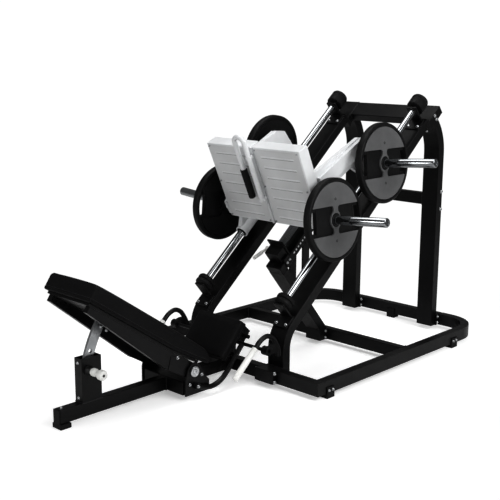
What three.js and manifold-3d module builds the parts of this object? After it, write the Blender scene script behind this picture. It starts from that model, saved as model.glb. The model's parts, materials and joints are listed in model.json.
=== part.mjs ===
// Plate loaded leg press: welded base, two inclined beams with guide rods, carriage with foot
// platform and weight horns, adjustable back rest, seat, release levers and carriage stop.
// Millimetres, +Z up, +X to the machine's right, +Y from the head end to the rear uprights.
import * as THREE from 'three';
import { mergeVertices } from 'three/addons/utils/BufferGeometryUtils.js';
import Module from 'manifold-3d';

const wasm = await Module();
wasm.setup();

// ---- driving dimensions ----------------------------------------------------------------
const GAP = 0.4;                 // clearance left between touching pieces
const FLOOR_GAP = 25;            // height of the feet
const TUBE_H = 70;               // base tube height
const TUBE_W = 50;               // base tube width
const BASE_TOP = FLOOR_GAP + TUBE_H;
const BASE_X = 652;              // half width of the base
const BASE_Y = 1592;             // rear face of the base, front face is y = 0
const HEAD_Y = -1122;            // head end of the centre beam
const BEAM_IN = 249;             // beams and uprights: inner and outer faces
const BEAM_OUT = 359;
const BEAM_D = 54;               // depth of that tube
const SLOPE = 40.33 * Math.PI / 180;
const LIFT = 27;                 // height of the slope's reference line above the floor
const BEAM_TOP = 148.6;          // beam top face, measured square to the slope
const ROD_X = 305;
const ROD_V = 228.5;             // rod axis, measured square to the slope
const ROD_R = 20;
const ROD_U = [392, 1856];       // rod ends along the slope
const UPRIGHT_Y = [1474, 1529];
const PLATE_R = 225;
const PLATE_T = 43;
const PLATE_X = 441;             // outer face of a plate
const HORN_R = 24.5;
const HORN_TIP = 771;
const HORN_TILT = 4.6 * Math.PI / 180;
const HORNS = [[379, 834 + LIFT], [802, 1102 + LIFT]];
const PANEL_X = 342;             // half width of the foot platform
const PANEL_H = 482;
const PANEL_FOOT = [781, 336];   // lower front edge of the platform, along and square to the slope
const PANEL_TILT = 15.8 * Math.PI / 180;
const PIVOT = [-405, 120 + LIFT];
const BACK_ANGLE = 34.2 * Math.PI / 180;
const BACK_HEAD = [-992, 676 + LIFT];
const BACK_LEN = 868;
const BACK_HALF = 180;
const SEAT_FOOT = [-207, 142 + LIFT];
const SEAT_ANGLE = 48.3 * Math.PI / 180;
const SEAT_LEN = 233;
const SEAT_HALF = 166;
const ARC_R = [523, 577];        // adjuster bar, radii about the back rest pivot
const SHAFT = [-60, 190 + LIFT]; // release shaft
const CENTRE = (BASE_Y + HEAD_Y) / 2;

const COLOURS = {
  frame: [0x1d1d1f, 0.5, 0.3], chrome: [0xc9cccf, 0.18, 1], white: [0xe6e7e8, 0.4, 0.1],
  rubber: [0x141415, 0.8, 0], pad: [0x17171a, 0.62, 0], steel: [0xa3a6a8, 0.35, 0.9],
  grip: [0x101011, 0.85, 0], ivory: [0xe9e9e7, 0.55, 0], grey: [0x8b8e90, 0.5, 0.2],
};

const group = new THREE.Group();
group.name = 'leg_press';

// ---- helpers ---------------------------------------------------------------------------
function toSolid(geometry) {
  const g = geometry.clone();
  g.deleteAttribute('normal');
  g.deleteAttribute('uv');
  const m = mergeVertices(g, 1e-4);
  return new wasm.Manifold(new wasm.Mesh({
    numProp: 3,
    vertProperties: new Float32Array(m.attributes.position.array),
    triVerts: new Uint32Array(m.index.array),
  }));
}

function fromSolid(solid) {
  const mesh = solid.getMesh();
  const g = new THREE.BufferGeometry();
  g.setAttribute('position', new THREE.BufferAttribute(new Float32Array(mesh.vertProperties), 3));
  g.setIndex(new THREE.BufferAttribute(new Uint32Array(mesh.triVerts), 1));
  g.computeVertexNormals();
  return g;
}

function join(...parts) {
  return fromSolid(parts.map(toSolid).reduce((a, b) => a.add(b)));
}

function cut(body, ...tools) {
  return fromSolid(tools.map(toSolid).reduce((a, b) => a.subtract(b), toSolid(body)));
}

function add(name, colour, geometry) {
  const g = geometry.clone();
  g.translate(0, -CENTRE, 0);
  const [hex, roughness, metalness] = COLOURS[colour];
  const mesh = new THREE.Mesh(g, new THREE.MeshStandardMaterial({ color: hex, roughness, metalness }));
  mesh.name = name;
  group.add(mesh);
}

function mirror(geometry) {
  const g = geometry.index ? geometry.toNonIndexed() : geometry.clone();
  const p = g.attributes.position;
  for (let i = 0; i < p.count; i += 3) {
    for (let k = 0; k < 3; k += 1) p.setX(i + k, -p.getX(i + k));
    for (let axis = 0; axis < 3; axis += 1) {
      const a = p.getComponent(i + 1, axis);
      p.setComponent(i + 1, axis, p.getComponent(i + 2, axis));
      p.setComponent(i + 2, axis, a);
    }
  }
  return mergeVertices(stripped(g), 1e-4);
}

function stripped(g) {
  for (const key of ['normal', 'uv']) if (g.attributes[key]) g.deleteAttribute(key);
  return g;
}

function addPair(name, colour, geometry) {
  add(`right_${name}`, colour, geometry);
  add(`left_${name}`, colour, mirror(geometry));
}

function box(x0, x1, y0, y1, z0, z1) {
  const g = new THREE.BoxGeometry(x1 - x0, y1 - y0, z1 - z0);
  return g.translate((x0 + x1) / 2, (y0 + y1) / 2, (z0 + z1) / 2);
}

function shapeOf(points, holes = []) {
  const s = new THREE.Shape(points.map(([a, b]) => new THREE.Vector2(a, b)));
  for (const h of holes) s.holes.push(new THREE.Path(h.map(([a, b]) => new THREE.Vector2(a, b))));
  return s;
}

// side view outline in (y, z), extruded from x0 to x1
function sideBar(points, x0, x1, holes = []) {
  const g = new THREE.ExtrudeGeometry(shapeOf(points, holes), { depth: x1 - x0, bevelEnabled: false });
  return g.applyMatrix4(new THREE.Matrix4().set(0, 0, 1, x0, 1, 0, 0, 0, 0, 1, 0, 0, 0, 0, 0, 1));
}

// plan outline in (x, y), extruded from z0 to z1
function planBar(points, z0, z1) {
  const g = new THREE.ExtrudeGeometry(shapeOf(points), { depth: z1 - z0, bevelEnabled: false });
  return g.translate(0, 0, z0);
}

function circle(cx, cy, r, n) {
  return Array.from({ length: n }, (_, i) => {
    const t = (2 * Math.PI * i) / n;
    return [cx + r * Math.cos(t), cy + r * Math.sin(t)];
  });
}

// both edges of a strip of given half width along an open line of points
function ribbon(line, half) {
  const left = [];
  const right = [];
  line.forEach(([a, b], i) => {
    const p = line[Math.max(i - 1, 0)];
    const q = line[Math.min(i + 1, line.length - 1)];
    const d = Math.hypot(q[0] - p[0], q[1] - p[1]);
    const n = [-(q[1] - p[1]) / d, (q[0] - p[0]) / d];
    left.push([a + n[0] * half, b + n[1] * half]);
    right.push([a - n[0] * half, b - n[1] * half]);
  });
  return left.concat(right.reverse());
}

// line through a corner with the corner replaced by an arc of radius r
function rounded(a, corner, b, r, steps) {
  const unit = (p, q) => {
    const d = Math.hypot(q[0] - p[0], q[1] - p[1]);
    return [(q[0] - p[0]) / d, (q[1] - p[1]) / d];
  };
  const [ua, ub] = [unit(corner, a), unit(corner, b)];
  const inner = Math.acos(ua[0] * ub[0] + ua[1] * ub[1]);
  const reach = r / Math.tan(inner / 2);
  const mid = unit([0, 0], [ua[0] + ub[0], ua[1] + ub[1]]);
  const hub = r / Math.sin(inner / 2);
  const centre = [corner[0] + mid[0] * hub, corner[1] + mid[1] * hub];
  const start = [corner[0] + ua[0] * reach, corner[1] + ua[1] * reach];
  const a0 = Math.atan2(start[1] - centre[1], start[0] - centre[0]);
  const cross = ua[0] * ub[1] - ua[1] * ub[0];
  const sweep = (Math.PI - inner) * (cross > 0 ? -1 : 1);
  const arc = Array.from({ length: steps + 1 }, (_, i) => {
    const t = a0 + (sweep * i) / steps;
    return [centre[0] + r * Math.cos(t), centre[1] + r * Math.sin(t)];
  });
  return [a, ...arc, b];
}

// point given along the slope (u) and square to it (v), as (y, z)
function uv(u, v) {
  return [
    u * Math.cos(SLOPE) - v * Math.sin(SLOPE),
    u * Math.sin(SLOPE) + v * Math.cos(SLOPE) + LIFT,
  ];
}

function slopeBar(points, x0, x1, holes = []) {
  return sideBar(points.map(([u, v]) => uv(u, v)), x0, x1, holes.map((h) => h.map(([u, v]) => uv(u, v))));
}

function slopeBox(u0, u1, v0, v1, x0, x1) {
  return slopeBar([[u0, v0], [u1, v0], [u1, v1], [u0, v1]], x0, x1);
}

// round bar between two points
function rod(a, b, r, n = 18) {
  const [p, q] = [new THREE.Vector3(...a), new THREE.Vector3(...b)];
  const d = q.clone().sub(p);
  const g = new THREE.CylinderGeometry(r, r, d.length(), n);
  g.applyQuaternion(new THREE.Quaternion().setFromUnitVectors(new THREE.Vector3(0, 1, 0), d.clone().normalize()));
  return g.translate(...p.add(q).multiplyScalar(0.5).toArray());
}

function slopeRod(u0, u1, v, x, r, n = 20) {
  return rod([x, ...uv(u0, v)], [x, ...uv(u1, v)], r, n);
}

function crossRod(x0, x1, [y, z], r, n = 18) {
  return rod([x0, y, z], [x1, y, z], r, n);
}

// round tube along a smooth curve through points
function bent(points, r, steps, n = 8) {
  const curve = new THREE.CatmullRomCurve3(points.map((p) => new THREE.Vector3(...p)), false, 'centripetal');
  const shape = shapeOf(circle(0, 0, r, n));
  return new THREE.ExtrudeGeometry(shape, { steps, bevelEnabled: false, extrudePath: curve });
}

// profile of (distance along x, radius), turned about x
function turned(profile, n) {
  const g = new THREE.LatheGeometry(profile.map(([x, r]) => new THREE.Vector2(r, x)), n);
  return g.rotateZ(-Math.PI / 2);
}

// ---- base ------------------------------------------------------------------------------
function sideRail() {
  const r = 190;
  const half = TUBE_W / 2;
  const corner = [BASE_X - half, BASE_Y - half];
  const back = rounded([corner[0], TUBE_W], corner, [BEAM_OUT + 9, corner[1]], r, 10);
  const rail = planBar(ribbon(back, half), FLOOR_GAP, BASE_TOP);
  const front = box(BEAM_OUT + GAP, BASE_X, 0, TUBE_W + 0.5, FLOOR_GAP, BASE_TOP);
  const frontEar = box(BEAM_OUT + GAP, BEAM_OUT + 10, -30, TUBE_W, FLOOR_GAP + 2, BASE_TOP - 2);
  const rearEar = box(BEAM_OUT + GAP, BEAM_OUT + 10, BASE_Y - 80, BASE_Y, FLOOR_GAP + 2, BASE_TOP - 2);
  return join(rail, front, frontEar, rearEar);
}

function crossbar(y0, y1, earY) {
  const x = BEAM_IN - GAP;
  const bar = box(-x, x, y0, y1, FLOOR_GAP, BASE_TOP);
  const ears = [-1, 1].map((s) => {
    const [a, b] = [s * (x - 10), s * x].sort((m, n) => m - n);
    return box(a, b, earY[0], earY[1], FLOOR_GAP + 2, BASE_TOP - 2);
  });
  return join(bar, ...ears);
}

function strapFoot(x0, x1, y0, y1, lip) {
  const pad = box(x0, x1, y0, y1, 0, FLOOR_GAP - GAP);
  const strap = box(x1 + GAP, x1 + lip, y0, y1, 0, FLOOR_GAP + 36);
  const link = box(x1 - 4, x1 + lip, y0, y1, 0, FLOOR_GAP - GAP);
  return join(pad, link, strap);
}

addPair('side_rail', 'frame', sideRail());
add('front_crossbar', 'frame', crossbar(0, TUBE_W, [-30, TUBE_W]));
add('rear_crossbar', 'frame', crossbar(BASE_Y - TUBE_W, BASE_Y, [BASE_Y - 80, BASE_Y]));
const midX = BASE_X - TUBE_W - GAP;
add('middle_crossbar', 'frame', box(-midX, midX, 795, 840, FLOOR_GAP, BASE_TOP));
addPair('front_foot', 'rubber', strapFoot(BASE_X - 46, BASE_X, 66, 126, 7));
addPair('rear_foot', 'rubber', strapFoot(BASE_X - 46, BASE_X, 1240, 1300, 7));
add('rear_middle_foot', 'rubber', join(
  box(-30, 30, BASE_Y - TUBE_W - 7, BASE_Y - 4, 0, FLOOR_GAP - GAP),
  box(-30, 30, BASE_Y - TUBE_W - 7, BASE_Y - TUBE_W - GAP, 0, FLOOR_GAP + 36)));

add('centre_beam', 'frame', box(-25, 25, HEAD_Y + 6, -463 - GAP, FLOOR_GAP, BASE_TOP));
add('centre_beam_foot', 'rubber', join(
  box(-25, 25, HEAD_Y, HEAD_Y + 6 - GAP, 0, BASE_TOP),
  box(-34, 34, HEAD_Y, HEAD_Y + 62, 0, FLOOR_GAP - GAP)));
add('seat_base', 'frame', join(
  box(-150, 150, -463, -363, FLOOR_GAP, BASE_TOP + 3),
  box(-25, 25, -364, -GAP, FLOOR_GAP, BASE_TOP)));

// ---- inclined beams and uprights -------------------------------------------------------
const beamMid = BEAM_TOP - BEAM_D / 2;
const beamEnd = 1846;
const footY = 89;
const beamCorner = [footY, (beamMid + Math.sin(SLOPE) * footY) / Math.cos(SLOPE) + LIFT];

function rodBracket(u0, u1, side) {
  const half = side < 0 ? 34 : 47;
  const web = slopeBox(u0, u1, BEAM_TOP - 1, ROD_V + 30, ROD_X - half, ROD_X + half);
  const sole = side < 0
    ? slopeBox(u0 - 70, u1, BEAM_TOP - 1, BEAM_TOP + 8, BEAM_IN + 8, BEAM_OUT - 8)
    : slopeBox(u0, u1 + 40, BEAM_TOP - 1, BEAM_TOP + 8, BEAM_IN + 8, BEAM_OUT - 8);
  return join(web, sole);
}

function mainBeam() {
  const line = rounded([footY, FLOOR_GAP], beamCorner, uv(beamEnd - 10, beamMid), 165, 8);
  const beam = sideBar(ribbon(line, BEAM_D / 2), BEAM_IN, BEAM_OUT);
  const shoe = box(BEAM_IN, BEAM_OUT, -30, 100, FLOOR_GAP, BASE_TOP);
  const flange = slopeBox(beamEnd - 11, beamEnd, 58, BEAM_TOP + 4, BEAM_IN - 4, BEAM_OUT + 4);
  const bore = slopeRod(1700, 1900, ROD_V, ROD_X, ROD_R + 0.8);
  return join(beam, shoe, flange, rodBracket(318, 330, -1), cut(rodBracket(1832, 1844, -1), bore));
}

function upright() {
  const headMid = 90.6;
  const x = (UPRIGHT_Y[0] + UPRIGHT_Y[1]) / 2;
  const u = 1922;
  const corner = [x, (u - Math.cos(SLOPE) * x) / Math.sin(SLOPE) + LIFT];
  const line = rounded([x, FLOOR_GAP], corner, uv(u, headMid), 273, 8);
  const post = sideBar(ribbon(line, (UPRIGHT_Y[1] - UPRIGHT_Y[0]) / 2), BEAM_IN, BEAM_OUT);
  const head = slopeBox(beamEnd + GAP, 2008, headMid - 27, headMid + 27, BEAM_IN, BEAM_OUT);
  const flange = slopeBox(beamEnd + GAP, beamEnd + 11, 58, BEAM_TOP + 4, BEAM_IN - 4, BEAM_OUT + 4);
  const shoe = box(BEAM_IN, BEAM_OUT, UPRIGHT_Y[0], BASE_Y, FLOOR_GAP, BASE_TOP);
  return join(post, head, flange, shoe);
}

addPair('main_beam', 'frame', mainBeam());
addPair('upright', 'frame', upright());
const barX = BEAM_IN - GAP;
add('upright_crossbar', 'frame', box(-barX, barX, 1477, 1526, 772 + LIFT, 845 + LIFT));
add('top_crossbar', 'frame', slopeBox(1888, 2004, 64, 117.6, -barX, barX));

// ---- guide rods and bumpers ------------------------------------------------------------
function bumper(u0, u1) {
  const lip = 6;
  const g = turned([[0, 0], [0, 46], [lip, 52], [u1 - u0 - lip, 52], [u1 - u0, 46], [u1 - u0, 0]], 20);
  const turn = new THREE.Matrix4().makeBasis(
    new THREE.Vector3(0, Math.cos(SLOPE), Math.sin(SLOPE)),
    new THREE.Vector3(1, 0, 0),
    new THREE.Vector3(0, Math.sin(SLOPE), -Math.cos(SLOPE)));
  return g.applyMatrix4(turn).translate(ROD_X, ...uv(u0, ROD_V));
}

addPair('guide_rod', 'chrome', slopeRod(ROD_U[0], ROD_U[1], ROD_V, ROD_X, ROD_R, 22));
addPair('lower_bumper', 'rubber', bumper(330 + GAP, ROD_U[0] - GAP));
addPair('upper_bumper', 'rubber', bumper(ROD_U[1] + GAP, 1940));

// ---- carriage stop ---------------------------------------------------------------------
const RAIL_HALF = 55;
add('stop_rail', 'frame', slopeBox(604, 1010, BEAM_TOP - 50, BEAM_TOP, -RAIL_HALF, RAIL_HALF));
add('stop_strut', 'frame', join(
  sideBar([uv(604, BEAM_TOP - 50 - GAP), uv(654, BEAM_TOP - 50 - GAP), [797, BASE_TOP + 3],
    [797, BASE_TOP + GAP], [794.6, BASE_TOP + GAP], [734, BASE_TOP - 2]], -RAIL_HALF, RAIL_HALF),
  box(-RAIL_HALF, RAIL_HALF, 734, 794.6, FLOOR_GAP, BASE_TOP),
  box(-RAIL_HALF - 10, RAIL_HALF + 10, 782, 794.6, FLOOR_GAP + 2, BASE_TOP - 2)));

function stopBrace() {
  const under = BEAM_TOP - 50 - GAP;
  const railZ = (y) => (under + Math.sin(SLOPE) * y) / Math.cos(SLOPE) + LIFT;
  const strutZ = (y) => (654 + GAP - Math.cos(SLOPE) * y) / Math.sin(SLOPE) + LIFT;
  const side = [[565, strutZ(565)], [622, strutZ(622)], [622, railZ(622)], [565, railZ(565)]];
  const low = [[570, strutZ(570)], [616, strutZ(616)], [616, 410], [570, 410]];
  return join(sideBar(side, 43, RAIL_HALF), sideBar(side, -RAIL_HALF, -43), sideBar(low, -44, 44));
}
add('stop_brace', 'frame', stopBrace());

add('stop_block', 'frame', join(
  slopeBox(645, 712, BEAM_TOP + GAP, 222, -48, 48),
  slopeBox(710, 720, BEAM_TOP + GAP, 255, -57, 57),
  slopeBox(655, 702, BEAM_TOP - 44, BEAM_TOP + 20, RAIL_HALF + GAP, RAIL_HALF + 8),
  slopeBox(655, 702, BEAM_TOP + 6, BEAM_TOP + 20, 40, RAIL_HALF + 8),
  slopeBox(655, 702, BEAM_TOP - 44, BEAM_TOP + 20, -RAIL_HALF - 8, -RAIL_HALF - GAP),
  slopeBox(655, 702, BEAM_TOP + 6, BEAM_TOP + 20, -RAIL_HALF - 8, -40)));
add('stop_bumper', 'grey', slopeRod(720 + GAP, 962, 196, 0, 24, 24));
add('stop_lever', 'white', join(
  rod([-68, ...uv(690, 205)], [-106, ...uv(596, 212)], 8.5, 12),
  rod([-48 - GAP, ...uv(690, 205)], [-76, ...uv(690, 205)], 11, 14)));

// ---- carriage --------------------------------------------------------------------------
// platform frame: s runs up the front face from its lower edge, d goes back from it
function onPanel(s, d) {
  const [c, k] = [Math.cos(PANEL_TILT), Math.sin(PANEL_TILT)];
  return [PANEL_FOOT[0] + s * k + d * c, PANEL_FOOT[1] + s * c - d * k];
}

const PANEL_DEEP = 75;
const PANEL_THIN = 26;
const DEEP_FROM = 258;

function footPanel() {
  const outline = [[0, 0], [PANEL_H, 0], [PANEL_H, PANEL_DEEP], [DEEP_FROM + 6, PANEL_DEEP],
    [DEEP_FROM - 10, PANEL_THIN], [0, PANEL_THIN]].map(([s, d]) => onPanel(s, d));
  return slopeBar(outline, 6, PANEL_X);
}
addPair('foot_panel', 'white', footPanel());
const HANDLE_D = -36;
const HANDLE_X = [-69, 0];
const HANDLE_END = 175;
const HANDLE_R = 14;

function platformSpine() {
  const rib = slopeBar([[0, -3], [PANEL_H - 4, -3], [PANEL_H - 4, 60], [DEEP_FROM, 60],
    [DEEP_FROM - 10, PANEL_THIN], [0, PANEL_THIN]].map(([s, d]) => onPanel(s, d)), -5.5, 5.5);
  const lugs = [[HANDLE_END - 10, HANDLE_END + 10], [PANEL_H - 58, PANEL_H - 42]].map(([a, b]) => slopeBar(
    [[a, HANDLE_D - 17.5], [b, HANDLE_D - 17.5], [b, -2], [a, -2]].map(([s, d]) => onPanel(s, d)), -17.5, 17.5));
  const bore = rod(onFront(0, HANDLE_END - 1, HANDLE_D), onFront(0, PANEL_H + 20, HANDLE_D), HANDLE_R + 0.6, 20);
  return cut(join(rib, ...lugs), bore);
}
add('platform_spine', 'white', platformSpine());

const SLEEVE_R = 36;
const LOW_SLEEVE = [755, 905];
const HIGH_SLEEVE = [1250, 1400];
const SIDE_X = [292, 318];
const CHEEK_X = PANEL_X + 1;

function carriageSide() {
  const backLow = onPanel(DEEP_FROM + 6, PANEL_DEEP + GAP);
  const plate = slopeBar([[760, 245], [757, 262], [802, 300],
    onPanel(4, PANEL_THIN + 2), onPanel(DEEP_FROM - 12, PANEL_THIN + GAP), backLow,
    onPanel(300, PANEL_DEEP + GAP), [1345, 484], [1395, 436], [1395, 300], [1400, 245], [1255, 245],
    [1225, 330], [1195, 400], [1010, 440], [930, 400], [905, 300], [900, 245]], SIDE_X[0], SIDE_X[1]);
  const sleeves = [LOW_SLEEVE, HIGH_SLEEVE].map(([a, b]) => slopeRod(a, b, ROD_V, ROD_X, SLEEVE_R, 20));
  const bores = [LOW_SLEEVE, HIGH_SLEEVE].map(([a, b]) => slopeRod(a - 5, b + 5, ROD_V, ROD_X, ROD_R + 1.2, 20));
  const arm = slopeBar([[935, 500], [948, 570], [1345, 480], [1345, 400]], SIDE_X[1] - 1, 342);
  const cheek = slopeBar([[790, 345], [850, 335], [985, 400], [985, 470], [860, 440], [800, 430]], CHEEK_X, 358);
  const link = slopeBox(890, 980, 390, 430, SIDE_X[1] - 1, CHEEK_X + 1);
  const hubs = HORNS.map(([y, z], i) => crossRod(i ? SIDE_X[1] - 1 : CHEEK_X, 358, [y, z - 7], 32, 20));
  return cut(join(plate, ...sleeves, arm, cheek, link, ...hubs), ...bores);
}
const hubSockets = HORNS.map(([y, z]) => hornGeometry(y, z, 0.5));
addPair('carriage_side', 'white', cut(carriageSide(), ...hubSockets));

function hornPlace(g, y, z) {
  return g.rotateY(-HORN_TILT).translate(PLATE_X, y, z);
}

function hornGeometry(y, z, extra) {
  const r = HORN_R + extra;
  const start = CHEEK_X + 2 - PLATE_X - extra;
  const end = HORN_TIP - PLATE_X;
  const g = turned([[start, 0], [start, r], [end - 4, r], [end, r - 3], [end, 0]], 22);
  return hornPlace(g, y, z);
}

function collarGeometry(y, z) {
  const a = 362 - PLATE_X;
  const b = -PLATE_T - GAP;
  return hornPlace(turned([[a, 0], [a, 31], [b, 31], [b, 0]], 20), y, z);
}

const inner = SIDE_X[0] - GAP;
add('carriage_crossmember', 'white', join(
  slopeBox(965, 1045, 340, 400, -inner, inner),
  slopeBox(965, 985, 150 + 20, 345, -48, 48),
  slopeBar([onPanel(180, PANEL_THIN + GAP), onPanel(240, PANEL_THIN + GAP), [1000, 395], [970, 345]], -110, 110)));

['lower', 'upper'].forEach((level, i) => {
  const [y, z] = HORNS[i];
  addPair(`${level}_horn`, 'chrome', join(hornGeometry(y, z, 0), collarGeometry(y, z)));
});

// ---- weight plates ---------------------------------------------------------------------
function weightPlate() {
  const [a, b] = [-PLATE_T, 0];
  const disc = turned([[a, 26], [a, PLATE_R - 7], [a + 7, PLATE_R], [b - 7, PLATE_R], [b, PLATE_R - 7], [b, 26],
    [a, 26]], 36);
  // two pockets in each face beside the hub, with a finger slot through the outer end of each
  const arc = (r, high, n) => {
    const t = Math.asin(high / r);
    return Array.from({ length: n + 1 }, (_, i) => [r * Math.cos(t - (2 * t * i) / n), r * Math.sin(t - (2 * t * i) / n)]);
  };
  const pocket = [...arc(203, 77, 6), [28, -77], [20, -69], ...arc(41, 36, 4).reverse(), [20, 69], [28, 77]];
  const slot = [...arc(201, 60, 5), [155, -60], [155, 60]];
  const cutters = [-1, 1].flatMap((s) => {
    const placed = (line) => line.map(([p, q]) => [s * p, q]);
    return [sideBar(placed(pocket), a - 5, a + 11), sideBar(placed(pocket), b - 11, b + 5),
      sideBar(placed(slot), a - 5, b + 5)];
  });
  return cut(disc, ...cutters);
}
const plate = weightPlate();
['lower', 'upper'].forEach((level, i) => {
  const [y, z] = HORNS[i];
  addPair(`${level}_plate`, 'rubber', hornPlace(plate.clone(), y, z));
});

// ---- platform handle -------------------------------------------------------------------
function onFront(x, s, d) {
  return [x, ...uv(...onPanel(s, d))];
}
const handleTop = PANEL_H + 44;
add('platform_handle', 'white', join(
  bent([onFront(HANDLE_X[0], 190, HANDLE_D), onFront(HANDLE_X[0], PANEL_H - 20, HANDLE_D),
    onFront(HANDLE_X[0], PANEL_H - 4, HANDLE_D), onFront(HANDLE_X[0], handleTop - 10, HANDLE_D), onFront(HANDLE_X[0] + 12, handleTop + 22, HANDLE_D),
    onFront(HANDLE_X[0] / 2, handleTop + 34, HANDLE_D), onFront(HANDLE_X[1] - 12, handleTop + 22, HANDLE_D),
    onFront(HANDLE_X[1], handleTop - 10, HANDLE_D), onFront(HANDLE_X[1], PANEL_H - 4, HANDLE_D),
    onFront(HANDLE_X[1], PANEL_H - 20, HANDLE_D),
    onFront(HANDLE_X[1], HANDLE_END, HANDLE_D)], HANDLE_R, 30, 12)));

function gripOn(a, b, inside, outside, n = 18) {
  return cut(rod(a, b, outside, n), rod(extend(b, a, 3), extend(a, b, -8), inside, n));
}

// point beyond b on the line from a, stopping short by a negative reach
function extend(a, b, reach) {
  const d = Math.hypot(b[0] - a[0], b[1] - a[1], b[2] - a[2]);
  return a.map((v, i) => v + ((b[i] - v) * (d + reach)) / d);
}
add('platform_handle_grip', 'grip', gripOn(onFront(HANDLE_X[0], 360, HANDLE_D), onFront(HANDLE_X[0], 178, HANDLE_D),
  HANDLE_R + 0.8, 20));

// ---- back rest -------------------------------------------------------------------------
// s runs down the pad from its head end, d goes down from its top surface
function onBack(s, d) {
  const [c, k] = [Math.cos(BACK_ANGLE), Math.sin(BACK_ANGLE)];
  return [BACK_HEAD[0] + s * c - d * k, BACK_HEAD[1] - s * k - d * c];
}
const PAD_T = 88;
const BOARD_T = 12;
const PAD_HEAD = -8;
const underPad = [[BACK_LEN, 62], [770, 74], [600, PAD_T], [PAD_HEAD, PAD_T]];
add('backrest_pad', 'pad', sideBar([[PAD_HEAD, 0], [BACK_LEN, 0], ...underPad].map((p) => onBack(...p)),
  -BACK_HALF, BACK_HALF));

function backFrame() {
  const b0 = PAD_T + GAP;
  const board = [[14, b0], [600, b0], [770, 74 + GAP], [808, 70], [808, 82], [770, 74 + BOARD_T], [600, b0 + BOARD_T],
    [14, b0 + BOARD_T]];
  const member = [[28, b0 + BOARD_T - 2], [700, b0 + BOARD_T - 2], [690, 180], [640, 186], [28, 133]];
  const lug = [[620, 120], [700, 92], [798, 92], [838, 128], [830, 165], [790, 176], [640, 184]];
  const hole = circle(...PIVOT, 16.2, 18);
  const sides = [-1, 1].flatMap((s) => {
    const order = (p, q) => [s * p, s * q].sort((m, n) => m - n);
    return [
      sideBar(member.map((p) => onBack(...p)), ...order(127, 157)),
      sideBar(lug.map((p) => onBack(...p)), ...order(148, 160), [hole]),
    ];
  });
  return join(sideBar(board.map((p) => onBack(...p)), -160, 160), ...sides);
}
add('backrest_frame', 'frame', join(
  backFrame(),
  sideBar([[150, PAD_T + 8], [240, PAD_T + 8], [240, 120], [150, 120]].map((p) => onBack(...p)), 8, 30)));

function arcPoint(r, deg) {
  const t = (deg * Math.PI) / 180;
  return [PIVOT[0] + r * Math.cos(t), PIVOT[1] + r * Math.sin(t)];
}

function adjusterBar() {
  const [a0, a1, n] = [145.5, 175.5, 10];
  const at = (i) => a0 + ((a1 - a0) * i) / n;
  const line = [];
  for (let i = 0; i <= n; i += 1) line.push(arcPoint(ARC_R[0], at(i)));
  for (let i = n; i >= 0; i -= 1) line.push(arcPoint(ARC_R[1], at(i)));
  const holes = [159.8, 164.3, 168.8, 173.3].map((deg) => circle(...arcPoint(550, deg), 11, 14));
  return sideBar(line.reverse(), -7, 7, holes);
}
add('adjuster_bar', 'steel', adjusterBar());

const POST = { x: 28, y: [-990, -875], top: 287 + LIFT, wall: 4 };
add('backrest_post', 'frame', cut(
  box(-POST.x, POST.x, POST.y[0], POST.y[1], BASE_TOP + GAP, POST.top),
  box(-POST.x + POST.wall + 6, POST.x - POST.wall - 6, POST.y[0] + POST.wall, POST.y[1] - POST.wall,
    BASE_TOP - 5, POST.top + 5),
  crossRod(0, POST.x + 5, [-952, 228 + LIFT], 12, 20)));

const PIN_AT = [-952, 228 + LIFT];
const onX = (profile, x, [y, z], n) => turned(profile, n).translate(x, y, z);
add('pull_pin', 'ivory', join(
  crossRod(9, 60, PIN_AT, 10.5, 20),
  onX([[0, 0], [0, 15], [12, 20], [28, 20], [36, 13], [52, 13], [60, 22], [84, 25], [92, 20], [92, 0]], 58, PIN_AT, 16)));
add('pin_housing', 'rubber', cut(
  onX([[0, 0], [0, 24], [16, 22], [28, 17], [28, 0]], POST.x + GAP, PIN_AT, 18),
  crossRod(0, 90, PIN_AT, 11.3, 24)));
add('backrest_pivot', 'chrome', join(
  crossRod(-175, 175, PIVOT, 15, 18),
  onX([[0, 0], [0, 28], [8, 28], [12, 23], [12, 0]], 174, PIVOT, 18),
  mirror(onX([[0, 0], [0, 28], [8, 28], [12, 23], [12, 0]], 174, PIVOT, 18))));

// ---- seat ------------------------------------------------------------------------------
function onSeat(s, d) {
  const [c, k] = [Math.cos(SEAT_ANGLE), Math.sin(SEAT_ANGLE)];
  return [SEAT_FOOT[0] + s * c + d * k, SEAT_FOOT[1] + s * k - d * c];
}
const SEAT_T = 54;
add('seat_pad', 'pad', sideBar([[0, 0], [SEAT_LEN, 0], [SEAT_LEN, SEAT_T], [0, SEAT_T]].map((p) => onSeat(...p)),
  -SEAT_HALF, SEAT_HALF));

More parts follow.
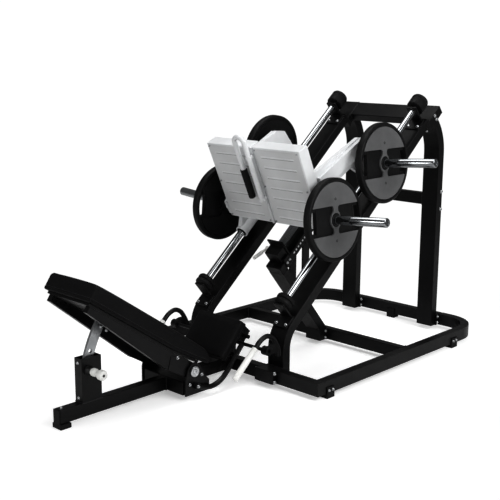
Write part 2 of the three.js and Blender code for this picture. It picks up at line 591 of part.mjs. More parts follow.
function seatFrame() {
  const top = SEAT_T + GAP;
  const board = sideBar([[8, top], [SEAT_LEN - 6, top], [SEAT_LEN - 6, 64], [8, 64]].map((p) => onSeat(...p)), -152, 152);
  const rest = sideBar([[152, 62], [SEAT_LEN - 6, 62], [SEAT_LEN - 8, 112], [152, 112]].map((p) => onSeat(...p)), -150, 150);
  const prop = sideBar([[3, BASE_TOP + GAP], [45, BASE_TOP + GAP], [45, 240], [22, 270], [3, 252]], -25, 25);
  const hole = circle(...PIVOT, 15.9, 18);
  const cheekLine = [[-463, FLOOR_GAP], [-463, 108], [-446, 165], [-420, 192], [-388, 192], [-360, 165],
    [-330, 110], [-300, 80], [-300, FLOOR_GAP]];
  const parts = [-1, 1].flatMap((s) => {
    const order = (p, q) => [s * p, s * q].sort((m, n) => m - n);
    const tubeLine = [[-402, 72], [-365, 58], [-318, 45], [-265, 48], [-222, 66], [-186, 96], [-120, 170], [-74, 219]];
    return [
      sideBar(cheekLine, ...order(163.5, 172.5), [hole]),
      bent(tubeLine.map(([y, z]) => [s * 187, y, z]), 14, 16, 8),
      crossRod(...order(164, 200), [-402, 72], 16, 20),
      crossRod(...order(146, 190), onSeat(60, 68), 11, 16),
      crossRod(...order(146, 190), onSeat(180, 82), 11, 16),
    ];
  });
  const gussets = [-1, 1].map((s) => {
    const order = (p, q) => [s * p, s * q].sort((m, n) => m - n);
    return sideBar([onSeat(8, 60), onSeat(70, 60), [-130, 155], [-186, 100], [-200, 96]], ...order(140, 150));
  });
  return join(board, rest, prop, ...parts, ...gussets);
}
add('seat_frame', 'frame', cut(seatFrame(), crossRod(-400, 400, SHAFT, 10.8, 24)));

// ---- release levers --------------------------------------------------------------------
const LEVER_X = 355;
function lever(s) {
  const tube = bent([[-188, 216], [-145, 254], [-110, 283], [-63, 297], [-22, 280], [6, 244], [25, 206], [27, 170]]
    .map(([y, z]) => [s * LEVER_X, y, z]), 13, 16, 8);
  const order = (p, q) => [s * p, s * q].sort((m, n) => m - n);
  const web = sideBar([[-72, 236], [-30, 247], [6, 244], [25, 206], [22, 190], [-64, 196]], ...order(350, 360));
  return [tube, web];
}
add('release_levers', 'frame', join(
  crossRod(-370, 370, SHAFT, 9.5, 20),
  ...[-1, 1].flatMap((s) => lever(s)),
  crossRod(330, 372, SHAFT, 24, 18),
  crossRod(-372, -330, SHAFT, 24, 18)));
const gripTop = [LEVER_X, -150, 250];
const gripEnd = [LEVER_X, -299, 119];
addPair('lever_grip', 'ivory', gripOn(gripTop, gripEnd, 14, 17));

export default group;
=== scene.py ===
import json
import math

import bmesh
import bpy
from mathutils import Matrix, Vector
from mathutils.bvhtree import BVHTree


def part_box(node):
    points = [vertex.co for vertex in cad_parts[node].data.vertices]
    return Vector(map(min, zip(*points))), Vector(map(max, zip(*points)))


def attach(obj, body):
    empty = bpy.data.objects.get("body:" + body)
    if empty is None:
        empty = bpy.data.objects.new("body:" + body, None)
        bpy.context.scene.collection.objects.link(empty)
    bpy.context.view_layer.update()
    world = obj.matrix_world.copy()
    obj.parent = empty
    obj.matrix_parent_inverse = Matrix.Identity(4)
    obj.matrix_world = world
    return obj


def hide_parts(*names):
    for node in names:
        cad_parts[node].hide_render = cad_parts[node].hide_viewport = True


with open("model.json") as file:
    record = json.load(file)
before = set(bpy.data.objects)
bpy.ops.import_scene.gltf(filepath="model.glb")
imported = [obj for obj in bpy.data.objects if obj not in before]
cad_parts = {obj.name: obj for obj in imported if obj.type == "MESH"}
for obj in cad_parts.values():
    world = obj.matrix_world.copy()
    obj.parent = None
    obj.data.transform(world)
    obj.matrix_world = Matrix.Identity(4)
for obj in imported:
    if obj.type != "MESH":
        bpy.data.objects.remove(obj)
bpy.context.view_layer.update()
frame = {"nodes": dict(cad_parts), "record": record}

NODES = frame["nodes"]
BODY_OF = {n: b for b, ns in frame["record"]["behaviour"]["bodies"].items() for n in ns}
SLOT_OF = {s["node"]: s["material_slot"] for s in frame["record"]["subparts"]}
SIDES = (("right", 1), ("left", -1))
RIGHT = Vector((1, 0, 0))
scene = bpy.context.scene

# ---- the machine's own measures, in metres, as in the CAD ----
SLOPE = math.radians(40.33)
CENTRE = 0.235
LIFT = 0.027
PANEL_TILT = math.radians(15.8)
PANEL_FOOT = (0.781, 0.336)
PANEL_H = 0.482
PANEL_X = 0.342
PANEL_DEEP = 0.075
PANEL_THIN = 0.026
DEEP_FROM = 0.258
BACK_ANGLE = math.radians(34.2)
BACK_HEAD = (-0.992, 0.703)
BACK_LEN = 0.868
BACK_HALF = 0.18
PAD_HEAD = -0.008
PAD_UNDER = [(PAD_HEAD, 0.088), (0.6, 0.088), (0.77, 0.074), (BACK_LEN, 0.062)]
SEAT_ANGLE = math.radians(48.3)
SEAT_FOOT = (-0.207, 0.169)
SEAT_LEN = 0.233
SEAT_HALF = 0.166
SEAT_T = 0.054
SEAT_UNDER = [(0, SEAT_T), (SEAT_LEN, SEAT_T)]
PIVOT = (-0.405, 0.147)
SHAFT = (-0.06, 0.217)
PIN_AT = (-0.952, 0.255)
ROD_X = 0.305
ROD_V = 0.2285
ROD_R = 0.02
ROD_ENDS = (0.392, 1.856)
BEAM_TOP = 0.1486
BEAM_IN, BEAM_OUT = 0.249, 0.359
PLATE_R = 0.225
PLATE_T = 0.043
PLATE_X = 0.441
HORN_TILT = math.radians(4.6)
HORN_TIP = 0.771
HORNS = {"lower": (0.379, 0.861), "upper": (0.802, 1.129)}
LEVER_X = 0.355
HANDLE_D = -0.036


def row(x, y, z):
    """A point of the machine's drawing as a point of the row frame."""
    return Vector((x, y - CENTRE, z))


def uv(u, v):
    """The drawing's y and z of a point u along the slope and v above it."""
    c, k = math.cos(SLOPE), math.sin(SLOPE)
    return u * c - v * k, u * k + v * c + LIFT


def on_slope(x, u, v):
    """A point of the sloping guides: u along them, v square to them."""
    return row(x, *uv(u, v))


def on_panel(x, s, d):
    """A point of the platform: s up its face, d behind it."""
    c, k = math.cos(PANEL_TILT), math.sin(PANEL_TILT)
    return on_slope(x, PANEL_FOOT[0] + s * k + d * c, PANEL_FOOT[1] + s * c - d * k)


def on_back(x, s, d):
    """A point of the backrest: s down from its head, d under its top."""
    c, k = math.cos(BACK_ANGLE), math.sin(BACK_ANGLE)
    return row(x, BACK_HEAD[0] + s * c - d * k, BACK_HEAD[1] - s * k - d * c)


def on_seat(x, s, d):
    """A point of the seat: s up from its foot, d under its top."""
    c, k = math.cos(SEAT_ANGLE), math.sin(SEAT_ANGLE)
    return row(x, SEAT_FOOT[0] + s * c + d * k, SEAT_FOOT[1] + s * k - d * c)


ALONG_SLOPE = Vector((0, math.cos(SLOPE), math.sin(SLOPE)))
OFF_SLOPE = Vector((0, -math.sin(SLOPE), math.cos(SLOPE)))
PANEL_UP = on_panel(0, 1, 0) - on_panel(0, 0, 0)
PANEL_OUT = on_panel(0, 0, -1) - on_panel(0, 0, 0)


# ---- materials ----
class Nodes:
    """A short way to write a node tree."""

    def __init__(self, name):
        self.mat = bpy.data.materials.new(name)
        self.mat.use_nodes = True
        self.tree = self.mat.node_tree
        self.bsdf = self.tree.nodes["Principled BSDF"]
        self.coord = self.new("ShaderNodeTexCoord").outputs["Object"]

    def new(self, kind, **props):
        n = self.tree.nodes.new(kind)
        for key, value in props.items():
            setattr(n, key, value)
        return n

    def link(self, a, b):
        self.tree.links.new(a, b)

    def scaled(self, x, y, z):
        m = self.new("ShaderNodeMapping")
        m.inputs["Scale"].default_value = (x, y, z)
        self.link(self.coord, m.inputs["Vector"])
        return m.outputs["Vector"]

    def noise(self, scale, detail=3.0, rough=0.55, vector=None, distort=0.0):
        n = self.new("ShaderNodeTexNoise")
        n.inputs["Scale"].default_value = scale
        n.inputs["Detail"].default_value = detail
        n.inputs["Roughness"].default_value = rough
        n.inputs["Distortion"].default_value = distort
        self.link(vector or self.coord, n.inputs["Vector"])
        return n.outputs["Fac"]

    def remap(self, value, a, b, lo, hi):
        m = self.new("ShaderNodeMapRange")
        for key, v in (("From Min", a), ("From Max", b), ("To Min", lo), ("To Max", hi)):
            m.inputs[key].default_value = v
        self.link(value, m.inputs["Value"])
        return m.outputs["Result"]

    def math(self, op, a, b):
        m = self.new("ShaderNodeMath", operation=op)
        for i, v in enumerate((a, b)):
            if isinstance(v, (int, float)):
                m.inputs[i].default_value = v
            else:
                self.link(v, m.inputs[i])
        return m.outputs[0]

    def mix(self, fac, a, b):
        m = self.new("ShaderNodeMix", data_type="RGBA")
        if isinstance(fac, (int, float)):
            m.inputs["Factor"].default_value = fac
        else:
            self.link(fac, m.inputs["Factor"])
        for sock, v in ((m.inputs["A"], a), (m.inputs["B"], b)):
            if isinstance(v, tuple):
                sock.default_value = (*v, 1)
            else:
                self.link(v, sock)
        return m.outputs["Result"]

    def up(self):
        """How far a surface faces up, from 0 to 1, for settled dust."""
        g = self.new("ShaderNodeNewGeometry")
        s = self.new("ShaderNodeSeparateXYZ")
        self.link(g.outputs["Normal"], s.inputs[0])
        return self.remap(s.outputs["Z"], 0.3, 1.0, 0.0, 1.0)

    def bump(self, height, strength, distance=0.0004):
        b = self.new("ShaderNodeBump")
        b.inputs["Strength"].default_value = strength
        b.inputs["Distance"].default_value = distance
        self.link(height, b.inputs["Height"])
        self.link(b.outputs["Normal"], self.bsdf.inputs["Normal"])

    def colour(self, c):
        self.link(c, self.bsdf.inputs["Base Color"])

    def rough(self, r):
        self.link(r, self.bsdf.inputs["Roughness"])

    def sockets(self, **values):
        for key, v in values.items():
            self.bsdf.inputs[key.replace("_", " ")].default_value = v
        return self.mat


def shade(c, k):
    return tuple(min(1.0, v * k) for v in c)


def powder_coat(name, colour, rough, dust, spec=0.5):
    """Powder coat: orange peel, slow colour drift, faint dust and rubbed patches."""
    n = Nodes(name)
    drift = n.remap(n.noise(3.0, 4), 0.3, 0.7, 0.0, 1.0)
    speck = n.remap(n.noise(900, 2), 0.35, 0.75, 0.0, 1.0)
    base = n.mix(drift, shade(colour, 0.86), shade(colour, 1.14))
    fleck = shade(colour, 1.5 if max(colour) < 0.2 else 0.9)
    base = n.mix(n.math("MULTIPLY", speck, 0.25), base, fleck)
    settled = n.math("MULTIPLY", n.up(), n.remap(n.noise(14, 5, 0.65), 0.4, 0.75, 0.0, dust))
    n.colour(n.mix(settled, base, (0.3, 0.3, 0.29)))
    n.rough(n.remap(n.noise(38, 6, 0.7), 0.35, 0.7, rough - 0.07, rough + 0.1))
    n.bump(n.noise(620, 2, 0.5), 0.16, 0.0003)
    return n.sockets(Specular_IOR_Level=spec)


def moulded(name, colour, rough, grain, strength, spec=0.5, scratch=0.0):
    """Moulded rubber or plastic: fine grain, soft mottling, light scuffs."""
    n = Nodes(name)
    drift = n.remap(n.noise(6.0, 4), 0.3, 0.7, 0.0, 1.0)
    base = n.mix(drift, shade(colour, 0.85), shade(colour, 1.18))
    marks = n.remap(n.noise(60, 8, 0.75, n.scaled(1, 0.35, 1), 0.6), 0.62, 0.78, 0.0, scratch)
    n.colour(n.mix(marks, base, shade(colour, 2.0 if max(colour) < 0.3 else 0.7)))
    n.rough(n.remap(n.noise(45, 5, 0.6), 0.3, 0.7, rough - 0.08, rough + 0.08))
    n.bump(n.noise(grain, 3, 0.6), strength, 0.0004)
    return n.sockets(Specular_IOR_Level=spec)


def plated(name, colour, rough, streak, strength, vector_scale):
    """Plated or brushed metal: stretched polishing marks, tiny pits and finger smears."""
    n = Nodes(name)
    v = n.scaled(*vector_scale)
    lines = n.noise(streak, 3, 0.6, v)
    smear = n.noise(18, 5, 0.6)
    n.colour(n.mix(n.remap(smear, 0.35, 0.7, 0.0, 1.0), colour, shade(colour, 0.86)))
    n.rough(n.remap(n.math("ADD", n.math("MULTIPLY", lines, 0.5), n.math("MULTIPLY", smear, 0.5)),
                    0.3, 0.7, rough * 0.65, rough * 1.5))
    n.bump(lines, strength, 0.0002)
    return n.sockets(Metallic=1.0)


def vinyl(name, colour):
    """Upholstery vinyl: pebbled grain in two sizes, soft creases and a worn sheen."""
    n = Nodes(name)
    cells = n.new("ShaderNodeTexVoronoi", feature="DISTANCE_TO_EDGE")
    cells.inputs["Scale"].default_value = 620
    cells.inputs["Randomness"].default_value = 0.9
    n.link(n.coord, cells.inputs["Vector"])
    pebble = n.remap(cells.outputs["Distance"], 0.0, 0.28, 0.0, 1.0)
    crease = n.noise(46, 6, 0.62, distort=1.2)
    drift = n.remap(n.noise(7, 4), 0.3, 0.7, 0.0, 1.0)
    base = n.mix(drift, shade(colour, 0.85), shade(colour, 1.25))
    # the valleys between the pebbles are painted darker: painted shade
    pebble_valley_shade = n.math("MULTIPLY", n.math("SUBTRACT", 1.0, pebble), 0.5)
    n.colour(n.mix(pebble_valley_shade, base, shade(colour, 0.5)))
    n.rough(n.remap(n.noise(12, 5, 0.6), 0.3, 0.7, 0.52, 0.68))
    relief = n.math("ADD", n.math("MULTIPLY", pebble, 0.5), n.math("MULTIPLY", crease, 0.6))
    n.bump(relief, 0.3, 0.0006)
    return n.sockets(Specular_IOR_Level=0.12)


# name: (kind, *what it is given after its name)
FINISHES = {
    "frame_paint": (powder_coat, (0.0042, 0.0042, 0.0045), 0.36, 0.016, 0.2),
    "white_paint": (powder_coat, (0.72, 0.73, 0.74), 0.42, 0.03),
    # the white paint darkened for the platform face: painted shade
    "panel_paint": (powder_coat, (0.63, 0.635, 0.64), 0.52, 0.03, 0.35),
    # dark grey for the thin strips below the panel ribs: painted shadow
    "crease_dust": (powder_coat, (0.22, 0.22, 0.222), 0.7, 0.02, 0.2),
    "chrome": (plated, (0.38, 0.39, 0.4), 0.1, 60, 0.1, (14, 1, 1)),
    # chrome darkened for the horns: painted shade
    "horn_chrome": (plated, (0.31, 0.32, 0.33), 0.12, 60, 0.14, (14, 1, 1)),
    "bare_steel": (plated, (0.4, 0.41, 0.42), 0.34, 90, 0.22, (1, 1, 9)),
    "zinc": (plated, (0.62, 0.63, 0.64), 0.26, 200, 0.2, (1, 1, 1)),
    "rubber": (moulded, (0.0055, 0.0055, 0.0058), 0.62, 700, 0.3, 0.2, 0.25),
    "grey_rubber": (moulded, (0.12, 0.125, 0.13), 0.4, 500, 0.15, 0.5, 0.2),
    "plate_rubber": (moulded, (0.0052, 0.0052, 0.0055), 0.5, 420, 0.35, 0.2, 0.35),
    "plate_insert": (moulded, (0.112, 0.113, 0.115), 0.6, 420, 0.35, 0.22, 0.3),
    "upholstery": (vinyl, (0.006, 0.006, 0.0064)),
    "thread": (moulded, (0.03, 0.03, 0.032), 0.7, 900, 0.4, 0.3),
    "ivory_plastic": (moulded, (0.78, 0.78, 0.76), 0.42, 260, 0.12, 0.5, 0.18),
    "black_plastic": (moulded, (0.008, 0.008, 0.0084), 0.46, 520, 0.25, 0.35, 0.2),
    "grip_rubber": (moulded, (0.006, 0.006, 0.0062), 0.72, 900, 0.35, 0.25, 0.2),
    "weld": (powder_coat, (0.008, 0.008, 0.0084), 0.44, 0.03, 0.35),
}
MATS = {name: kind(name, *values) for name, (kind, *values) in FINISHES.items()}
# materials of this script that belong to a slot with another name
SLOTS = {"panel_paint": "white_paint", "crease_dust": "white_paint", "horn_chrome": "chrome",
         "zinc": "bare_steel", "plate_insert": "grey_rubber", "thread": "upholstery",
         "weld": "frame_paint"}


# ---- mesh helpers ----
def place(name, mesh, body, mat, replaced=(), slot_name=None):
    """Put a finished mesh in the scene, riding on its body."""
    slot_name = slot_name or SLOTS.get(mat, mat)
    o = bpy.data.objects.new(name, mesh)
    scene.collection.objects.link(o)
    mesh.materials.clear()
    mesh.materials.append(MATS[mat])
    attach(o, body)
    if replaced:
        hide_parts(*replaced)
    return o


def from_bmesh(name, bm, angle=35):
    me = bpy.data.meshes.new(name)
    bmesh.ops.recalc_face_normals(bm, faces=bm.faces)
    bm.to_mesh(me)
    bm.free()
    me.shade_smooth()
    me.set_sharp_from_angle(angle=math.radians(angle))
    return me


def finished(name, bm, body, mat, replaced=(), angle=35, slot_name=None):
    """A built shape as a piece of the scene."""
    return place(name, from_bmesh(name, bm, angle), body, mat, replaced, slot_name)


def frozen(o):
    """The mesh of a temporary object as its modifiers leave it; the object goes."""
    graph = bpy.context.evaluated_depsgraph_get()
    out = bpy.data.meshes.new_from_object(o.evaluated_get(graph))
    bpy.data.objects.remove(o)
    return out


def applied(name, mesh, *mods):
    """The mesh after modifiers, each given as (type, {property: value})."""
    o = bpy.data.objects.new(name + "_tmp", mesh)
    scene.collection.objects.link(o)
    for kind, props in mods:
        m = o.modifiers.new(kind, kind)
        for k, v in props.items():
            setattr(m, k, v)
    bpy.context.view_layer.update()
    out = frozen(o)
    out.name = name
    return out


def bevelled(name, mesh, width, segments=2, angle=32):
    return applied(
        name, mesh,
        ("BEVEL", dict(width=width, segments=segments, limit_method="ANGLE",
                       angle_limit=math.radians(angle), use_clamp_overlap=True,
                       miter_outer="MITER_ARC", harden_normals=False)),
        ("WEIGHTED_NORMAL", dict(keep_sharp=True, weight=80)))


def refined(node, width, segments=2, angle=32):
    """A CAD solid with its real rounded edges, standing for the plain one."""
    bm = bmesh.new()
    bm.from_mesh(NODES[node].data)
    bmesh.ops.remove_doubles(bm, verts=bm.verts, dist=2e-5)
    bmesh.ops.dissolve_limit(bm, angle_limit=math.radians(0.8), verts=bm.verts, edges=bm.edges)
    me = from_bmesh(node + "_shape", bm, angle)
    out = bevelled(node + "_mesh", me, width, segments, angle)
    place(node + "_body", out, BODY_OF[node], SLOT_OF[node], (node,))


def basis(direction):
    """A direction made one unit long, and two unit vectors square to it and to each other."""
    d = direction.normalized()
    aside = Vector((0, 0, 1)) if abs(d.z) < 0.95 else Vector((0, 1, 0))
    p = d.cross(aside).normalized()
    return d, p, p.cross(d).normalized() * -1


def ring_at(bm, centre, p, q, r, n):
    """New vertices on a circle in the plane of p and q."""
    turns = (2 * math.pi * i / n for i in range(n))
    return [bm.verts.new(centre + (p * math.cos(a) + q * math.sin(a)) * r) for a in turns]


def add_lathe(bm, origin, direction, profile, n=48):
    """Turn a profile of (distance along, radius) round a line.

    A profile that ends on the axis is closed there; one that doesn't is joined to its own start.
    """
    d, p, q = basis(direction)
    rings = [[bm.verts.new(origin + d * t)] if r < 1e-7 else ring_at(bm, origin + d * t, p, q, r, n)
             for t, r in profile]
    closed = len(rings[0]) > 1 and len(rings[-1]) > 1
    for a, b in list(zip(rings, rings[1:])) + ([(rings[-1], rings[0])] if closed else []):
        for i in range(n):
            j = (i + 1) % n
            if len(a) == 1 and len(b) > 1:
                bm.faces.new((a[0], b[i], b[j]))
            elif len(b) == 1 and len(a) > 1:
                bm.faces.new((a[i], b[0], a[j]))
            elif len(a) > 1:
                bm.faces.new((a[i], b[i], b[j], a[j]))


def lathe(name, origin, direction, profile, body, mat, replaced=(), n=48, angle=35, slot_name=None):
    """One turned piece."""
    bm = bmesh.new()
    add_lathe(bm, origin, direction, profile, n)
    return finished(name, bm, body, mat, replaced, angle, slot_name)


def join_rings(bm, rings):
    """Skin closed rings of equal length in their order, with a face over each end."""
    for a, b in zip(rings, rings[1:]):
        for i in range(len(a)):
            j = (i + 1) % len(a)
            bm.faces.new((a[i], a[j], b[j], b[i]))
    bm.faces.new(list(reversed(rings[0])))
    bm.faces.new(rings[-1])


def add_sweep(bm, path, radius, n=16):
    """A round tube along points; radius is a number or one number for each point."""
    radii = radius if isinstance(radius, (list, tuple)) else [radius] * len(path)
    rings, p = [], None
    for i, c in enumerate(path):
        d = (path[min(i + 1, len(path) - 1)] - path[max(i - 1, 0)]).normalized()
        if p is None:
            _, p, _ = basis(d)
        p = (p - d * p.dot(d)).normalized()
        rings.append(ring_at(bm, c, p, d.cross(p), radii[i], n))
    join_rings(bm, rings)


def add_prism(bm, outline, x0, x1, at):
    """A side outline in two coordinates, drawn by at(x, a, b), between two values of x."""
    join_rings(bm, [[bm.verts.new(at(x, a, b)) for a, b in outline] for x in (x0, x1)])


def catmull(points, per):
    """Centripetal curve through points, in small steps."""
    pts = [Vector(p) for p in points]
    pts = [pts[0] * 2 - pts[1]] + pts + [pts[-1] * 2 - pts[-2]]
    out = []
    for i in range(1, len(pts) - 2):
        four = pts[i - 1:i + 3]
        t = [0.0]
        for a, b in zip(four, four[1:]):
            t.append(t[-1] + max((b - a).length, 1e-9) ** 0.5)
        for k in range(per):
            s = t[1] + (t[2] - t[1]) * k / per

            def blend(a, b, lo, hi):
                return a * ((t[hi] - s) / (t[hi] - t[lo])) + b * ((s - t[lo]) / (t[hi] - t[lo]))

            once = [blend(four[m], four[m + 1], m, m + 1) for m in range(3)]
            twice = [blend(once[m], once[m + 1], m, m + 2) for m in range(2)]
            out.append(blend(*twice, 1, 2))
    out.append(pts[-2])
    return out


def between(a, b, n):
    """n equal steps from a to b, both ends included."""
    return [a.lerp(b, i / n) for i in range(n + 1)]


def rounded_rect(half_a, half_b, r, n=5):
    """Outline of a rectangle with round corners, centred."""
    out = []
    for ca, cb, a0 in ((half_a - r, half_b - r, 0), (-half_a + r, half_b - r, 90),
                       (-half_a + r, -half_b + r, 180), (half_a - r, -half_b + r, 270)):
        for i in range(n + 1):
            t = math.radians(a0 + 90 * i / n)
            out.append((ca + r * math.cos(t), cb + r * math.sin(t)))
    return out


# ---- fasteners ----
def bolts(name, body, places, r=0.0085, mat="zinc"):
    """At each (point, direction): a flat washer and a round socket head."""
    bm = bmesh.new()
    w = r * 1.35
    washer = [(0, 0), (0, w), (0.0022, w), (0.0026, w * 0.94), (0.0026, 0)]
    head = [(0.0005, 0), (0.0005, r), (0.0055, r), (0.0078, r * 0.78), (0.008, r * 0.5),
            (0.0045, r * 0.45), (0.0045, 0)]
    for at, direction in places:
        at, direction = Vector(at), Vector(direction)
        add_lathe(bm, at - direction.normalized() * 0.001, direction, washer, 24)
        add_lathe(bm, at, direction, head, 24)
    finished(name, bm, body, mat, angle=30)


def weld(name, body, lines):
    """Weld beads: a rippled bead along each line of corner points."""
    bead_r, step, ripple = 0.0032, 0.0022, 0.22
    bm = bmesh.new()
    for k, line in enumerate(lines):
        corners = [Vector(p) for p in line]
        path = []
        for a, b in zip(corners, corners[1:]):
            path += between(a, b, max(2, int((b - a).length / step)))[:-1]
        path.append(corners[-1])
        radii = [bead_r * (1 + ripple * math.sin(i * 2.1 + k)) for i in range(len(path))]
        add_sweep(bm, path, radii, 7)
    finished(name, bm, body, "weld", angle=60)


def ring_of(lo, hi, axis, value):
    """The four corners of a box's section, closed."""
    a, b = [i for i in range(3) if i != axis]
    out = []
    for u, w in ((lo[a], lo[b]), (hi[a], lo[b]), (hi[a], hi[b]), (lo[a], hi[b]), (lo[a], lo[b])):
        p = [0, 0, 0]
        p[a], p[b], p[axis] = u, w, value
        out.append(tuple(p))
    return out


def mirrored(places):
    """Bolt places for +X and, mirrored, for -X."""
    return [(Vector((s * at[0], at[1], at[2])), Vector((s * d[0], d[1], d[2])))
            for s in (1, -1) for at, d in places]


# ---- frame ----
for node_name in ("right_side_rail", "left_side_rail", "front_crossbar", "rear_crossbar",
                  "middle_crossbar", "centre_beam", "seat_base", "right_main_beam",
                  "left_main_beam", "right_upright", "left_upright", "upright_crossbar",
                  "top_crossbar", "stop_rail", "stop_strut", "stop_brace"):
    refined(node_name, 0.0042, 3)
refined("backrest_post", 0.003)
refined("stop_block", 0.0022)
refined("backrest_frame", 0.0022)
for side, _ in SIDES:
    for foot in ("front", "rear"):
        refined(f"{side}_{foot}_foot", 0.0025)
refined("rear_middle_foot", 0.0025)
refined("centre_beam_foot", 0.004, 3)

base_ends = [(-0.015, 0.084), (-0.015, 0.036), (1.53, 0.08), (1.53, 0.04)]
bolts("base_bolts", "frame", mirrored(
    [(row(BEAM_OUT + 0.01, y, z), RIGHT) for y, z in base_ends]
    + [(row(BEAM_IN - 0.0104, y, z), -RIGHT) for y, z in base_ends]))
bolts("upright_bolts", "frame", mirrored(
    [(row(BEAM_OUT, 1.518, z + LIFT), RIGHT) for z in (0.86, 0.75)]
    + [(row(BEAM_OUT, *uv(1.935, v)), RIGHT) for v in (0.105, 0.076)]))
bolts("strap_bolts", "frame", mirrored(
    [(row(0.659, y, 0.043), RIGHT) for y in (0.081, 0.111, 1.255, 1.285)]), 0.0055)
bolts("strut_shoe_bolts", "frame", mirrored(
    [(row(0.06, 0.782, z), (0, -1, 0)) for z in (0.08, 0.04)]), 0.0065)
bolts("flange_bolts", "frame", mirrored(
    [(on_slope(x, 1.857, 0.132), ALONG_SLOPE) for x in (BEAM_IN + 0.02, BEAM_OUT - 0.02)]
    + [(on_slope(BEAM_OUT - 0.016, 1.835, 0.074), -ALONG_SLOPE)]), 0.0075)
bolts("bracket_bolts", "frame", mirrored(
    [(on_slope(x, u, BEAM_TOP + 0.008), OFF_SLOPE)
     for x in (BEAM_IN + 0.022, BEAM_OUT - 0.022) for u in (0.268, 1.785)]), 0.0075)
bolts("post_bolts", "frame",
      [(row(0, -0.99, z), (0, -1, 0)) for z in (0.292, 0.118)]
      + [(row(0, -1.092, 0.095), (0, 0, 1))], 0.006)
bolts("seat_bolts", "frame", mirrored(
    [(row(0.1725, y, z), RIGHT) for y, z in ((-0.434, 0.082), (-0.352, 0.118))]
    + [(row(0.2, -0.402, 0.072), RIGHT)]), 0.0065)

lo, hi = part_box("backrest_post")
welds = [ring_of(lo, hi, 2, lo.z + 0.001)]
for s in (1, -1):
    inner_x = s * (BEAM_IN - 0.0012)
    lo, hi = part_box("upright_crossbar")
    welds.append(ring_of(lo, hi, 0, inner_x))
    welds.append([on_slope(inner_x, u, v) for u, v in
                  ((1.888, 0.064), (2.004, 0.064), (2.004, 0.1176), (1.888, 0.1176),
                   (1.888, 0.064))])
    lo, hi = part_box("middle_crossbar")
    welds.append(ring_of(lo, hi, 0, s * (hi.x - 0.0008)))
lo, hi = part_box("centre_beam")
welds.append(ring_of(lo, hi, 1, hi.y - 0.001))
weld("frame_welds", "frame", welds)

# plastic caps in the open tube ends
bm = bmesh.new()
cap = [(2.0075, 0.0676), (2.0105, 0.0706), (2.0105, 0.1106), (2.0075, 0.1136)]
for s in (1, -1):
    add_prism(bm, cap, *sorted((s * (BEAM_IN + 0.004), s * (BEAM_OUT - 0.004))), on_slope)
place("head_caps", bevelled("head_caps", from_bmesh("head_caps_m", bm), 0.0008), "frame",
      "black_plastic")

# ---- guide rods and bumpers ----
rod_len = ROD_ENDS[1] - ROD_ENDS[0]
bar = [(0, 0), (0, ROD_R - 0.001), (0.001, ROD_R), (rod_len - 0.001, ROD_R),
       (rod_len, ROD_R - 0.001), (rod_len, 0)]
low_buffer = [(0, 0), (0, 0.04), (0.003, 0.046), (0.01, 0.0515), (0.022, 0.052),
              (0.026, 0.0505), (0.028, 0.045), (0.032, 0.045), (0.034, 0.0505), (0.038, 0.052),
              (0.05, 0.0515), (0.058, 0.046), (0.0612, 0.038), (0.0612, 0)]
high_buffer = [(0, 0), (0, 0.044), (0.002, 0.0495), (0.006, 0.052), (0.05, 0.052),
               (0.053, 0.0505), (0.055, 0.049), (0.058, 0.049), (0.06, 0.0505),
               (0.063, 0.052), (0.072, 0.0515), (0.079, 0.048), (0.0832, 0.04),
               (0.0832, 0.016), (0.0815, 0.013), (0.0815, 0)]
collar = [(0, 0.0202), (0, 0.026), (0.0015, 0.028), (0.0054, 0.028), (0.0054, 0.0202)]
for side, s in SIDES:
    for piece, u, profile, mat, node, n, angle in (
            ("rod_bar", ROD_ENDS[0], bar, "chrome", "guide_rod", 72, 35),
            ("lower_buffer", 0.3304, low_buffer, "rubber", "lower_bumper", 56, 30),
            ("upper_buffer", 1.8564, high_buffer, "rubber", "upper_bumper", 56, 30),
            ("rod_collar", 1.8262, collar, "black_plastic", None, 40, 35)):
        lathe(f"{side}_{piece}", on_slope(s * ROD_X, u, ROD_V), ALONG_SLOPE, profile, "frame",
              mat, (f"{side}_{node}",) if node else (), n, angle)

# ---- carriage stop ----
buffer_len, rib_count = 0.2416, 26
step = (buffer_len - 0.01) / rib_count
ribs = [(0, 0), (0, 0.021), (0.002, 0.0235)]
for i in range(rib_count):
    t = 0.004 + i * step
    ribs += [(t, 0.0238), (t + step * 0.55, 0.024), (t + step * 0.7, 0.0222),
             (t + step * 0.92, 0.0222)]
ribs += [(buffer_len - 0.002, 0.0235), (buffer_len, 0.021), (buffer_len, 0)]
lathe("stop_buffer", on_slope(0, 0.7204, 0.196), ALONG_SLOPE, ribs, "stop", "grey_rubber",
      ("stop_bumper",), 40, 25)
root, tip = on_slope(-0.068, 0.69, 0.205), on_slope(-0.106, 0.596, 0.212)
n = (tip - root).length
bm = bmesh.new()
add_lathe(bm, root, tip - root,
          [(0, 0), (0, 0.007), (0.034, 0.007), (0.036, 0.0098), (0.042, 0.0106),
           (n - 0.006, 0.0106), (n - 0.001, 0.0086), (n, 0.005), (n, 0)], 32)
add_lathe(bm, on_slope(-0.0486, 0.69, 0.205), -RIGHT,
          [(0, 0), (0, 0.0108), (0.0265, 0.0108), (0.0275, 0.0098), (0.0275, 0)], 32)
finished("stop_catch_lever", bm, "stop_catch", "ivory_plastic", ("stop_lever",),
         slot_name="white_paint")
bm = bmesh.new()
eyelet = [(0, 0), (0, 0.0062), (0.0007, 0.0062), (0.0009, 0.0056), (0.0007, 0.0048),
          (0.0002, 0.0046), (0.0002, 0)]
for i in range(10):
    for s in (1, -1):
        add_lathe(bm, on_slope(s * 0.0549, 0.748 + i * 0.0235, BEAM_TOP - 0.02), RIGHT * s,
                  eyelet, 20)
finished("stop_rail_eyelets", bm, "frame", "zinc", angle=40)
bolts("stop_bolts", "stop", mirrored(
    [(on_slope(0.063, u, BEAM_TOP - 0.012), RIGHT) for u in (0.666, 0.692)]), 0.006)

